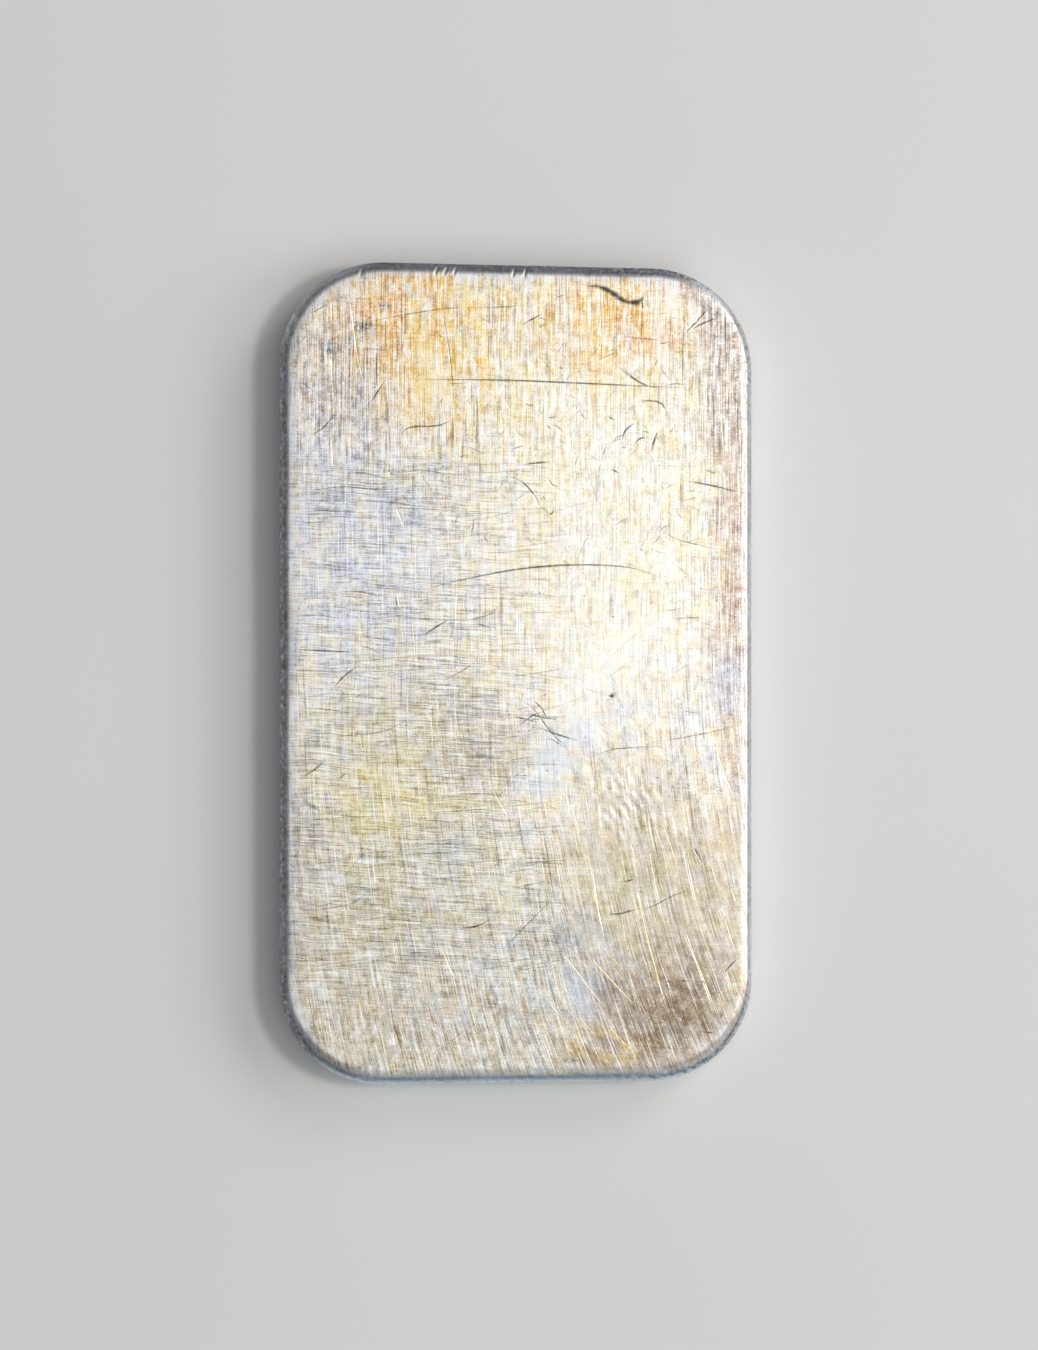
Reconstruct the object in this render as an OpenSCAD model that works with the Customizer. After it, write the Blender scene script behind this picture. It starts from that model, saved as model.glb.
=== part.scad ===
// A plain metal ingot: one flat bar with rounded corners, lying with its blank face up.
// X runs across the bar, Y from its foot end to its head end, and Z up from the floor.
// The origin is on the floor, in the middle of the rectangle that the bar fills.

/* [Bar] */
// Length over everything, from the foot end to the head end
bar_length = 88.8; // [60:0.1:130]
// Width over everything
bar_width = 51; // [40:0.1:80]
// Thickness between the two flat faces
bar_thickness = 6.75; // [5:0.05:16]

/* [Outline] */
// Radius of the two corners at the head end, seen from above
head_corner_r = 11.1; // [5:0.1:16]
// Radius of the two corners at the foot end, seen from above
foot_corner_r = 11; // [5:0.1:16]
// How far the head end falls back, out of square, on its way to the right side
head_skew = 0.65; // [0:0.05:2]
// How far the foot end falls back, out of square, on its way to the right side
foot_skew = 0.4; // [0:0.05:2]

/* [Edges] */
// Radius of the rounded edge round the upper face
upper_edge_r = 1.2; // [0.3:0.05:1.8]
// Radius of the rounded edge round the lower face
lower_edge_r = 1.2; // [0.3:0.05:1.8]
// How much sooner the upper face ends at the foot, where its edge was rolled over
foot_roll_setback = 0.6; // [0:0.05:3]
// How far below the upper face the rolled-over edge comes out at the foot end
foot_roll_drop = 0.15; // [0:0.05:0.8]

/* [Hidden] */

// Facets in a full circle, seen from above and in the section of a rounded edge
plan_facets = 80;
edge_facets = 28;

// Places of the corner circles: across the bar from its middle, and along it from the ends
head_x = bar_width / 2 - head_corner_r;
head_y = bar_length / 2 - head_corner_r;
foot_x = bar_width / 2 - foot_corner_r;
foot_y = foot_corner_r - bar_length / 2;

// Centres of the corner circles, the left one first and the skewed right one second
head_centres = [[-head_x, head_y], [head_x, head_y - head_skew]];
foot_centres = [[-foot_x, foot_y], [foot_x, foot_y + foot_skew]];

// The rounded edge of a corner circle: a ring of round section that reaches out to corner_r
module edge_ring(corner_r, edge_r) {
    rotate_extrude($fn = plan_facets)
        translate([corner_r - edge_r, 0])
            circle(edge_r, $fn = edge_facets);
}

// An end's two corners at one edge, with the top of the rings at the height top
module corner_pair(centres, corner_r, edge_r, top) {
    for (centre = centres)
        translate([centre.x, centre.y, top - edge_r])
            edge_ring(corner_r, edge_r);
}

// Both edges of an end whose upper face is at the height top
module bar_end(centres, corner_r, top) {
    corner_pair(centres, corner_r, lower_edge_r, 2 * lower_edge_r);
    corner_pair(centres, corner_r, upper_edge_r, top);
}

// The whole bar, one solid piece drawn tight round its corners
module ingot() {
    color("silver")
        hull() {
            bar_end(head_centres, head_corner_r, bar_thickness);
            bar_end(foot_centres, foot_corner_r, bar_thickness - foot_roll_drop);
            translate([0, foot_roll_setback])
                corner_pair(foot_centres, foot_corner_r, upper_edge_r, bar_thickness);
        }
}

ingot();
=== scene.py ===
"""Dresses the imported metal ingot: one tarnished silver bar, scratched by handling, lying on a pale floor.

A finely cut mesh stands in for the bar's CAD solid. It keeps the solid's outline and rounded edges, and the
scratches, gouges and nicks of the real face are cut into it. One procedural finish paints the tarnish and
the rolling grain. Sizes are in millimetres, and turn into metres where a mesh, a light or the camera enters
the scene.
"""

import logging
import math
import random
from dataclasses import dataclass, replace
from enum import Enum
from typing import Any, Iterator, Union

import bpy
import numpy as np
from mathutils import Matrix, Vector
from mathutils.geometry import delaunay_2d_cdt


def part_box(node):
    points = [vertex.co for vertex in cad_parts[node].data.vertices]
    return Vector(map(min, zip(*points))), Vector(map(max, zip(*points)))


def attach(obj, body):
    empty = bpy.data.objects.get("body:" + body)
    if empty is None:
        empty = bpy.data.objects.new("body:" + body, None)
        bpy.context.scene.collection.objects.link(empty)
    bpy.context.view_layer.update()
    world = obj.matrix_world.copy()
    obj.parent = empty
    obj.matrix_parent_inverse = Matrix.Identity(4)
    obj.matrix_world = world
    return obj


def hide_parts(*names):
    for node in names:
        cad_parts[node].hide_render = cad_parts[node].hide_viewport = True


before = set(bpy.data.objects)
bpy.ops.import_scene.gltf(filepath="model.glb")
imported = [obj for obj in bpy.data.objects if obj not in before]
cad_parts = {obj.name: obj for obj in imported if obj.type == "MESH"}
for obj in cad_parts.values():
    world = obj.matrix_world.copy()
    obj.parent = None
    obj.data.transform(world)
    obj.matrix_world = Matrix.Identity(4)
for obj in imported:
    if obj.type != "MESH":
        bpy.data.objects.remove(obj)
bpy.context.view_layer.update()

MM = 0.001
NODE = "ingot"
BODY = "root"

Point = tuple[float, float]
Colour = tuple[float, float, float, float]
Operand = Union["Wire", float, tuple]
Key = Union[str, int]

# The middle of a share, which runs from 0 to 1
MIDDLE = 0.5

# The curve that turns screen values into linear light
SCREEN_FULL = 255
SCREEN_KNEE = 0.04045
SCREEN_SLOPE = 12.92
SCREEN_OFFSET = 0.055
SCREEN_POWER = 2.4

LOG = logging.getLogger("ingot")


def tint(red: int, green: int, blue: int) -> Colour:
    """Turns a colour in screen values from 0 to 255 into a shader's linear colour.

    Args:
        red: Screen value of red.
        green: Screen value of green.
        blue: Screen value of blue.

    Returns:
        The linear colour, opaque.
    """
    linear = []
    for value in (red, green, blue):
        share = value / SCREEN_FULL
        curved = ((share + SCREEN_OFFSET) / (1 + SCREEN_OFFSET)) ** SCREEN_POWER
        linear.append(share / SCREEN_SLOPE if share <= SCREEN_KNEE else curved)
    return (linear[0], linear[1], linear[2], 1.0)


class Mode(Enum):
    """How one colour is laid over another."""

    MIX = "MIX"
    MULTIPLY = "MULTIPLY"


class Wire:
    """One output socket of a node tree, which takes part in arithmetic."""

    def __init__(self, bench: "Bench", socket: bpy.types.NodeSocket) -> None:
        """Keeps the socket and the bench that adds nodes after it."""
        self.bench = bench
        self.socket = socket

    def __add__(self, other: Operand) -> "Wire":
        """The sum of the two."""
        return self.bench.math("ADD", self, other)

    def __radd__(self, other: Operand) -> "Wire":
        """The sum of the two."""
        return self.bench.math("ADD", other, self)

    def __sub__(self, other: Operand) -> "Wire":
        """This less the other."""
        return self.bench.math("SUBTRACT", self, other)

    def __rsub__(self, other: Operand) -> "Wire":
        """The other less this."""
        return self.bench.math("SUBTRACT", other, self)

    def __mul__(self, other: Operand) -> "Wire":
        """The product of the two."""
        return self.bench.math("MULTIPLY", self, other)

    def __rmul__(self, other: Operand) -> "Wire":
        """The product of the two."""
        return self.bench.math("MULTIPLY", other, self)

    def __truediv__(self, other: Operand) -> "Wire":
        """This divided by the other."""
        return self.bench.math("DIVIDE", self, other)


class Bench:
    """A node tree under construction, for a finish or for a shape."""

    def __init__(self, tree: bpy.types.NodeTree) -> None:
        """Keeps the tree that nodes are added to."""
        self.tree = tree

    @staticmethod
    def find(sockets: Any, key: Key) -> bpy.types.NodeSocket:
        """Finds the socket in use under a name, or the one with a number.

        Args:
            sockets: A node's inputs or outputs.
            key: The socket's name or number.

        Returns:
            The socket.
        """
        if isinstance(key, int):
            return sockets[key]
        return next(socket for socket in sockets if socket.name == key and socket.enabled)

    def node(
        self, kind: str, settings: dict[str, Any] | None = None, sockets: dict[Key, Operand] | None = None
    ) -> bpy.types.Node:
        """Adds one node, with its settings made first.

        Args:
            kind: Blender's name for the node's type.
            settings: Properties of the node.
            sockets: Values or wires for its inputs.

        Returns:
            The node.
        """
        node = self.tree.nodes.new(kind)
        for name, value in (settings or {}).items():
            setattr(node, name, value)
        for key, value in (sockets or {}).items():
            target = self.find(node.inputs, key)
            if isinstance(value, Wire):
                self.tree.links.new(value.socket, target)
            else:
                target.default_value = value
        return node

    def wire(
        self,
        kind: str,
        settings: dict[str, Any] | None = None,
        sockets: dict[Key, Operand] | None = None,
        output: Key = 0,
    ) -> Wire:
        """Adds one node and takes up one of its outputs.

        Args:
            kind: Blender's name for the node's type.
            settings: Properties of the node.
            sockets: Values or wires for its inputs.
            output: The output's name or number.

        Returns:
            The output as a wire.
        """
        return Wire(self, self.find(self.node(kind, settings, sockets).outputs, output))

    def math(self, operation: str, *values: Operand) -> Wire:
        """One Math node on the values, in order."""
        return self.wire("ShaderNodeMath", {"operation": operation}, dict(enumerate(values)))

    def vector(self, x: Operand, y: Operand, z: Operand) -> Wire:
        """Three values as one vector."""
        return self.wire("ShaderNodeCombineXYZ", sockets={"X": x, "Y": y, "Z": z})

    def split(self, vector: Wire) -> tuple[Wire, Wire, Wire]:
        """A vector as its three values."""
        node = self.node("ShaderNodeSeparateXYZ", sockets={"Vector": vector})
        return Wire(self, node.outputs["X"]), Wire(self, node.outputs["Y"]), Wire(self, node.outputs["Z"])

    def step(self, value: Wire, low: float, high: float) -> Wire:
        """Rises softly from 0 to 1 as the value goes from low to high, or falls if low is the greater."""
        limits = {"Value": value, "From Min": low, "From Max": high}
        return self.wire("ShaderNodeMapRange", {"interpolation_type": "SMOOTHSTEP"}, limits)

    def noise(self, vector: Wire, detail: float, roughness: float, output: Key = 0) -> Wire:
        """Cloudy noise from 0 to 1, one lump to each unit of the vector, as a value or as a colour."""
        sockets = {"Vector": vector, "Scale": 1.0, "Detail": detail, "Roughness": roughness}
        return self.wire("ShaderNodeTexNoise", {"noise_dimensions": "3D"}, sockets, output)

    def blend(self, share: Operand, first: Operand, second: Operand, mode: Mode = Mode.MIX) -> Wire:
        """Goes from the first colour to the second by a share, in one of the modes."""
        settings = {"data_type": "RGBA", "blend_type": mode.value, "clamp_factor": True}
        return self.wire("ShaderNodeMix", settings, {"Factor": share, "A": first, "B": second}, "Result")

    def attribute(self, name: str) -> Wire:
        """A value that the mesh carries at its points."""
        return self.wire("ShaderNodeAttribute", {"attribute_name": name}, output="Fac")

    def surface(self, sockets: dict[Key, Operand]) -> None:
        """Ends a finish with one shader, whose inputs take the values or wires."""
        shader = self.wire("ShaderNodeBsdfPrincipled", sockets=sockets)
        self.node("ShaderNodeOutputMaterial", sockets={"Surface": shader})


def start_finish(name: str) -> tuple[bpy.types.Material, Bench]:
    """Starts a finish with an empty tree.

    Args:
        name: The material's name.

    Returns:
        The material, and the bench for its tree.
    """
    material = bpy.data.materials.new(name)
    material.use_nodes = True
    material.node_tree.nodes.clear()
    return material, Bench(material.node_tree)


@dataclass(frozen=True)
class Ramp:
    """A soft rise from 0 to 1 between two readings, or a fall where the first is the greater."""

    start: float
    end: float

    def of(self, reading: Wire) -> Wire:
        """How far along the ramp a reading is, from 0 to 1."""
        return reading.bench.step(reading, self.start, self.end)


class ShapeTree:
    """A Geometry Nodes tree with named inputs, and a way to run it once on a mesh."""

    def __init__(self, name: str, inputs: dict[str, str]) -> None:
        """Starts the tree with its inputs and one output.

        Args:
            name: The tree's name.
            inputs: Socket type of each named input.
        """
        self.name = name
        self.tree = bpy.data.node_groups.new(name, "GeometryNodeTree")
        self.bench = Bench(self.tree)
        face = self.tree.interface
        face.new_socket("Geometry", in_out="INPUT", socket_type="NodeSocketGeometry")
        face.new_socket("Geometry", in_out="OUTPUT", socket_type="NodeSocketGeometry")
        listed = inputs | {"Finish": "NodeSocketMaterial"}
        self.identifiers = {
            label: face.new_socket(label, in_out="INPUT", socket_type=kind).identifier
            for label, kind in listed.items()
        }
        self.entry = self.bench.node("NodeGroupInput")

    def input(self, name: str) -> Wire:
        """One of the tree's inputs as a wire."""
        return Wire(self.bench, self.entry.outputs[name])

    def close(self, geometry: Wire) -> None:
        """Ends the tree: instances become mesh, and the mesh takes its finish.

        Args:
            geometry: What the tree has made.
        """
        plain = self.bench.wire("GeometryNodeRealizeInstances", sockets={"Geometry": geometry})
        finish = {"Geometry": plain, "Material": self.input("Finish")}
        dressed = self.bench.wire("GeometryNodeSetMaterial", sockets=finish)
        self.bench.node("NodeGroupOutput", sockets={"Geometry": dressed})

    def run(self, mesh: bpy.types.Mesh, values: dict[str, Any]) -> bpy.types.Mesh:
        """Runs the tree on a mesh.

        Args:
            mesh: The mesh that goes in, which is then discarded.
            values: The value of each named input.

        Returns:
            The plain mesh that comes out.
        """
        holder = bpy.data.objects.new(self.name, mesh)
        bpy.context.scene.collection.objects.link(holder)
        modifier = holder.modifiers.new(self.name, "NODES")
        modifier.node_group = self.tree
        for label, value in values.items():
            modifier[self.identifiers[label]] = value
        graph = bpy.context.evaluated_depsgraph_get()
        shaped = holder.evaluated_get(graph)
        result = bpy.data.meshes.new_from_object(shaped, preserve_all_data_layers=True, depsgraph=graph)
        holder.modifiers.remove(modifier)
        bpy.data.objects.remove(holder)
        bpy.data.meshes.remove(mesh)
        return result


@dataclass(frozen=True)
class Blade:
    """How a tool or an edge marked the face: width and depth of the cut, and how dark or bright it shows."""

    width: float
    depth: float
    # dark is tarnish in the groove and painted shade on its walls; bright is a painted highlight
    dark: float = 0.0
    bright: float = 0.0


class Cut(Enum):
    """The kinds of mark on the face."""

    GOUGE = Blade(width=0.85, depth=0.065, dark=1.40)
    SCORE = Blade(width=0.24, depth=0.030, dark=1.05)
    HAIR = Blade(width=0.16, depth=0.014, dark=0.80)
    SMEAR = Blade(width=0.75, depth=0.010, dark=0.40)
    NOTCH = Blade(width=0.42, depth=0.035, dark=1.05)
    SCUFF = Blade(width=0.80, depth=0.030, dark=0.70)
    GLINT = Blade(width=0.20, depth=0.018, bright=0.90)
    FLECK = Blade(width=0.20, depth=0.010, dark=0.55)
    FINE_HAIR = Blade(width=0.11, depth=0.008, dark=0.55)
    FINE_GLINT = Blade(width=0.11, depth=0.008, bright=0.55)


@dataclass(frozen=True)
class Mark:
    """One mark read off the photograph, as points in the photograph's pixels."""

    name: str
    cut: Cut
    pixels: tuple[Point, ...]


MARKS = (
    Mark(
        "S-shaped gouge", Cut.GOUGE, ((585, 286), (598, 287), (608, 291), (617, 297), (627, 303), (641, 301))
    ),
    Mark("end of the gouge", Cut.GOUGE, ((625, 302), (632, 303), (638, 302), (644, 297))),
    Mark("hook of the gouge", Cut.SCORE, ((641, 300), (642, 305), (643, 311))),
    Mark("long line", Cut.SCORE, ((415, 380), (463, 380), (520, 381), (589, 384), (656, 387), (690, 388))),
    Mark("curve into the long line", Cut.SCORE, ((617, 366), (626, 374), (636, 381), (649, 387), (659, 388))),
    Mark("its twin", Cut.HAIR, ((621, 366), (632, 377), (644, 384))),
    Mark("tail of the long line", Cut.HAIR, ((664, 386), (677, 384), (687, 386))),
    Mark("line from the dark spot", Cut.HAIR, ((365, 323), (400, 316), (424, 312), (446, 309), (480, 308))),
    Mark("faint end of it", Cut.HAIR, ((478, 308), (520, 307))),
    Mark("bent glint", Cut.GLINT, ((347, 290), (352, 313), (358, 357), (367, 394))),
    Mark("dark streak", Cut.HAIR, ((441, 304), (447, 337), (451, 367), (455, 420))),
    Mark("tick by the long line", Cut.HAIR, ((449, 384), (472, 383))),
    Mark("hook", Cut.SCORE, ((400, 437), (405, 430), (414, 427), (437, 426), (453, 420))),
    Mark("left tick", Cut.SCORE, ((312, 435), (323, 428), (334, 415))),
    Mark("upper left line", Cut.HAIR, ((303, 320), (314, 312), (330, 304))),
    Mark("second upper left line", Cut.HAIR, ((299, 343), (310, 334))),
    Mark("slanted grey line", Cut.SCORE, ((368, 404), (373, 399), (382, 385), (386, 378))),
    Mark("low arch", Cut.HAIR, ((359, 351), (368, 349), (379, 350), (388, 352))),
    Mark("smoky line", Cut.HAIR, ((303, 492), (323, 489), (344, 487), (375, 489), (403, 483))),
    Mark("second smoky line", Cut.HAIR, ((344, 472), (368, 474), (393, 481))),
    Mark("third smoky line", Cut.HAIR, ((358, 501), (393, 503), (428, 508))),
    Mark("fourth smoky line", Cut.HAIR, ((302, 515), (335, 512))),
    Mark("short glint", Cut.GLINT, ((389, 471), (391, 480))),
    Mark("slanted glint", Cut.GLINT, ((395, 504), (405, 529))),
    Mark("curl", Cut.HAIR, ((433, 472), (442, 474), (445, 478))),
    Mark("yellow glint", Cut.GLINT, ((500, 411), (503, 427))),
    Mark("upper right tick", Cut.SCORE, ((684, 334), (697, 321), (712, 303))),
    Mark("upper right arc", Cut.SCORE, ((691, 330), (704, 323), (718, 318), (734, 316))),
    Mark("head tick", Cut.SCORE, ((520, 326), (531, 320), (543, 314))),
    Mark("ring, upper half", Cut.HAIR, ((537, 322), (541, 318), (546, 322))),
    Mark("ring, lower half", Cut.HAIR, ((537, 322), (541, 327), (546, 322))),
    Mark("head dash", Cut.HAIR, ((554, 298), (566, 295))),
    Mark("faint head line", Cut.HAIR, ((622, 337), (663, 341))),
    Mark("faint head slant", Cut.HAIR, ((596, 361), (608, 356), (619, 350))),
    Mark("arc right of the middle", Cut.SCORE, ((638, 402), (650, 401), (661, 404), (667, 416))),
    Mark("short bar", Cut.SCORE, ((606, 416), (615, 421))),
    Mark("bent tick", Cut.SCORE, ((622, 442), (624, 432), (634, 423))),
    Mark("thick tick", Cut.NOTCH, ((650, 454), (653, 443), (657, 431))),
    Mark("squiggle", Cut.SCORE, ((633, 445), (639, 439), (646, 438))),
    Mark("tick under the squiggle", Cut.HAIR, ((650, 455), (654, 465))),
    Mark("clear dash", Cut.SCORE, ((522, 465), (538, 463), (551, 462))),
    Mark("blunt tick", Cut.SCORE, ((545, 425), (552, 430))),
    Mark("left dash", Cut.HAIR, ((510, 450), (526, 445))),
    Mark("long slant", Cut.SCORE, ((510, 476), (524, 484), (535, 497), (540, 508))),
    Mark("faint end of the slant", Cut.HAIR, ((539, 506), (551, 515))),
    Mark("hooked tick", Cut.SCORE, ((547, 477), (552, 485), (559, 487))),
    Mark("tick right of the middle", Cut.SCORE, ((610, 469), (620, 474))),
    Mark("dash at the right", Cut.SCORE, ((704, 470), (716, 474))),
    Mark("line to the right edge", Cut.SCORE, ((685, 481), (712, 486), (741, 493))),
    Mark(
        "long arc",
        Cut.SCORE,
        ((422, 590), (466, 579), (520, 569), (574, 565), (624, 567), (653, 575), (664, 583)),
    ),
    Mark("arc on the left", Cut.SCORE, ((422, 636), (436, 627), (449, 619))),
    Mark("clear arc on the left", Cut.HAIR, ((457, 623), (472, 619), (490, 614), (504, 600))),
    Mark("blue tick", Cut.HAIR, ((443, 558), (451, 552))),
    Mark("upright pair, dark one", Cut.SCORE, ((395, 595), (397, 609))),
    Mark("upright pair, bright one", Cut.GLINT, ((398, 594), (400, 609))),
    Mark("grey smear", Cut.SMEAR, ((420, 643), (440, 641), (451, 638))),
    Mark("tick beside the arc", Cut.SCORE, ((477, 624), (492, 628))),
    Mark("left line", Cut.SCORE, ((291, 649), (324, 651), (354, 652))),
    Mark("end of the left line", Cut.HAIR, ((354, 645), (366, 647), (384, 655))),
    Mark("left slant", Cut.SCORE, ((332, 689), (343, 677), (357, 666))),
    Mark("slant below it", Cut.HAIR, ((354, 700), (365, 690))),
    Mark("middle line", Cut.HAIR, ((402, 682), (427, 683), (459, 687))),
    Mark("middle slant", Cut.HAIR, ((441, 682), (465, 669), (479, 657))),
    Mark("low left line", Cut.HAIR, ((291, 707), (324, 709), (350, 713))),
    Mark("bowed line", Cut.HAIR, ((311, 737), (352, 735), (384, 731), (413, 716))),
    Mark("smudge", Cut.SMEAR, ((349, 734), (366, 731))),
    Mark("soft grey band", Cut.SMEAR, ((449, 757), (484, 756), (507, 759))),
    Mark("low left tick", Cut.SCORE, ((303, 777), (315, 769), (324, 762))),
    Mark("tick beside it", Cut.HAIR, ((336, 781), (350, 770))),
    Mark("glint below the middle", Cut.GLINT, ((490, 783), (501, 804), (514, 823))),
    Mark("cross, long arm", Cut.SCORE, ((525, 703), (535, 711), (553, 735), (569, 749))),
    Mark("cross, short arm", Cut.SCORE, ((537, 727), (553, 733), (578, 741))),
    Mark("cross, smear", Cut.SMEAR, ((535, 704), (544, 720), (551, 731))),
    Mark("cross, side line", Cut.SCORE, ((512, 716), (537, 722))),
    Mark("cross, top dash", Cut.HAIR, ((540, 697), (550, 692))),
    Mark("cross, upper slant", Cut.SCORE, ((531, 699), (541, 708), (548, 722))),
    Mark("cross, left slant", Cut.SCORE, ((519, 726), (531, 716), (544, 711))),
    Mark("cross, middle dash", Cut.SCORE, ((528, 713), (540, 717), (555, 719))),
    Mark("cross, lower smear", Cut.SMEAR, ((541, 715), (549, 727), (557, 738))),
    Mark("cross, low line", Cut.HAIR, ((545, 737), (556, 742), (570, 752))),
    Mark("brown dot", Cut.GOUGE, ((609, 697), (614, 695))),
    Mark("line below the middle", Cut.HAIR, ((590, 757), (610, 750), (625, 748), (660, 746))),
    Mark("low line to the right edge", Cut.HAIR, ((653, 742), (680, 738), (710, 732), (740, 725))),
    Mark("dash on the right", Cut.HAIR, ((672, 619), (704, 617))),
    Mark("bow on the right", Cut.HAIR, ((656, 525), (671, 537), (689, 543), (720, 550))),
    Mark("golden glint", Cut.GLINT, ((715, 745), (725, 775), (735, 800))),
    Mark("scuff at the left edge", Cut.SCUFF, ((300, 798), (307, 804), (316, 808), (320, 811))),
    Mark("low left bow", Cut.HAIR, ((309, 911), (328, 908), (354, 902), (377, 882))),
    Mark("low clear dash", Cut.SCORE, ((459, 928), (476, 926), (490, 919))),
    Mark("low long slant", Cut.HAIR, ((496, 955), (507, 944), (527, 924), (547, 903), (552, 895))),
    Mark("low bent glint", Cut.GLINT, ((438, 944), (444, 953), (453, 973), (462, 983))),
    Mark("thick dash", Cut.SCORE, ((522, 886), (535, 883))),
    Mark("low grey line", Cut.HAIR, ((510, 865), (533, 862), (568, 860))),
    Mark("low right line", Cut.SCORE, ((607, 914), (621, 913), (638, 908))),
    Mark("low right bow", Cut.HAIR, ((638, 911), (654, 905), (671, 896), (691, 888))),
    Mark("low right dash", Cut.SCORE, ((621, 882), (634, 879))),
    Mark("low right slant", Cut.SCORE, ((692, 845), (703, 864))),
    Mark("first nick", Cut.SCORE, ((664, 981), (674, 982))),
    Mark("second nick", Cut.SCORE, ((678, 980), (688, 981))),
    Mark("third nick", Cut.HAIR, ((697, 981), (707, 982))),
    Mark("long golden glint", Cut.GLINT, ((637, 887), (646, 930), (658, 977), (666, 1006), (671, 1021))),
    Mark("glint beside it", Cut.GLINT, ((592, 862), (598, 905), (605, 942))),
    Mark("first glint of the fan", Cut.GLINT, ((555, 946), (568, 959), (588, 985), (606, 1008))),
    Mark("second glint of the fan", Cut.GLINT, ((585, 950), (612, 980), (640, 1010))),
    Mark("third glint of the fan", Cut.GLINT, ((609, 1023), (619, 1037), (634, 1051))),
    Mark(
        "glint at the lower right", Cut.GLINT, ((682, 930), (692, 952), (699, 967), (710, 995), (720, 1023))
    ),
    Mark("short glint at the right edge", Cut.GLINT, ((724, 916), (730, 935), (736, 953))),
    Mark("glint above it", Cut.GLINT, ((730, 886), (736, 901), (741, 914))),
    Mark("right edge tick", Cut.SCORE, ((723, 972), (731, 964), (737, 958))),
    Mark("dash at the foot", Cut.SCORE, ((704, 1032), (718, 1032))),
    Mark("light spot", Cut.GLINT, ((346, 955), (352, 954))),
)


@dataclass(frozen=True)
class Scatter:
    """Scratches of one kind, strewn over a patch of a face by a Geometry Nodes tree.

    The patch runs from its low corner to its high corner. A scratch lies at the turn, in degrees from the
    X axis, give or take the spread.
    """

    low: Point
    high: Point
    per_square: float
    length: float
    turn: float
    spread: float
    bend: float
    cut: Cut
    seed: int


UPPER_SCATTERS = (
    Scatter((-25, -32), (3, 23), 0.42, 5.0, 0.0, 9.0, 0.4, Cut.FINE_HAIR, 3),
    Scatter((-12, -20), (22, 40), 0.11, 1.6, 20.0, 90.0, 0.6, Cut.FINE_HAIR, 5),
    Scatter((-25, 5), (25, 43), 0.05, 5.0, 90.0, 4.0, 0.2, Cut.FINE_GLINT, 7),
    Scatter((-25, -43), (3, 5), 0.05, 4.0, 100.0, 6.0, 0.2, Cut.FINE_GLINT, 11),
    Scatter((3, -43), (24, -14), 0.15, 4.5, 105.0, 7.0, 0.3, Cut.FINE_GLINT, 13),
    Scatter((3, -43), (15, -30), 0.20, 3.5, 128.0, 10.0, 0.3, Cut.FINE_GLINT, 17),
    Scatter((-25, -43), (25, 43), 0.014, 6.0, 30.0, 90.0, 1.2, Cut.FINE_HAIR, 19),
    Scatter((-25, -43), (25, 43), 0.09, 0.4, 0.0, 90.0, 0.0, Cut.FLECK, 37),
    Scatter((-10, 12), (19, 36), 0.11, 1.2, 20.0, 90.0, 0.6, Cut.HAIR, 61),
)
LOWER_SCATTERS = (
    Scatter((-25, -43), (25, 43), 0.020, 6.0, 10.0, 50.0, 0.8, Cut.HAIR, 23),
    Scatter((-25, -43), (25, 43), 0.050, 5.0, 90.0, 6.0, 0.3, Cut.FINE_GLINT, 29),
    Scatter((-25, -43), (25, 43), 0.006, 2.2, 40.0, 90.0, 0.4, Cut.SCORE, 31),
)


@dataclass(frozen=True)
class Stroke:
    """One scratch to be cut: a path on the face, its half width and depth at its middle, and its tone."""

    path: np.ndarray
    half_width: float
    depth: float
    dark: float
    bright: float

    def shares(self) -> np.ndarray:
        """How far along the path each of its points lies, from 0 to 1."""
        lengths = lengths_along(self.path)
        return lengths / lengths[-1]

    def rows(self) -> list[np.ndarray]:
        """The scratch's middle line and its two lips, which meet at its tips.

        Returns:
            Three arrays of points: the middle, the left lip and the right lip.
        """
        along = np.gradient(self.path, axis=0)
        along /= np.linalg.norm(along, axis=1, keepdims=True)
        aside = np.stack([-along[:, 1], along[:, 0]], axis=1)
        reach = (self.half_width * taper(self.shares()))[:, None] * aside
        return [self.path, self.path + reach, self.path - reach]

    def spans(self, points: np.ndarray) -> Iterator[tuple[np.ndarray, np.ndarray]]:
        """Measures points against each straight piece of the path in turn.

        Args:
            points: Points on the face.

        Yields:
            How far along the piece each point lies, from 0 to 1, and its distance from the piece.
        """
        for start, end in zip(self.path[:-1], self.path[1:]):
            side = end - start
            place = np.clip((points - start) @ side / (side @ side), 0.0, 1.0)
            yield place, np.linalg.norm(points - start - place[:, None] * side, axis=1)

    def gap(self, points: np.ndarray) -> np.ndarray:
        """Distance of each point from the scratch's middle line."""
        return np.min([gap for _, gap in self.spans(points)], axis=0)

    def weight(self, points: np.ndarray) -> np.ndarray:
        """How deep in the scratch each point lies, from 0 at its lips to 1 on its middle line.

        Args:
            points: Points on the face.

        Returns:
            One value for each point.
        """
        best = np.zeros(len(points))
        shares = self.shares()
        for (place, gap), low, high in zip(self.spans(points), shares[:-1], shares[1:]):
            full = np.maximum(taper(low + place * (high - low)), THINNEST)
            best = np.maximum(best, full * (1.0 - gap / (self.half_width * full)))
        return best


TIP_BLUNTNESS = 0.6
THINNEST = 1e-3


def taper(shares: np.ndarray) -> np.ndarray:
    """Width of a scratch along its length, as a share: full over its middle and nothing at its tips."""
    return np.clip(np.sin(np.pi * np.clip(shares, 0.0, 1.0)), 0.0, 1.0) ** TIP_BLUNTNESS


def lengths_along(path: np.ndarray) -> np.ndarray:
    """How far along a path each of its points lies."""
    return np.r_[0.0, np.cumsum(np.linalg.norm(np.diff(path, axis=0), axis=1))]


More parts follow.
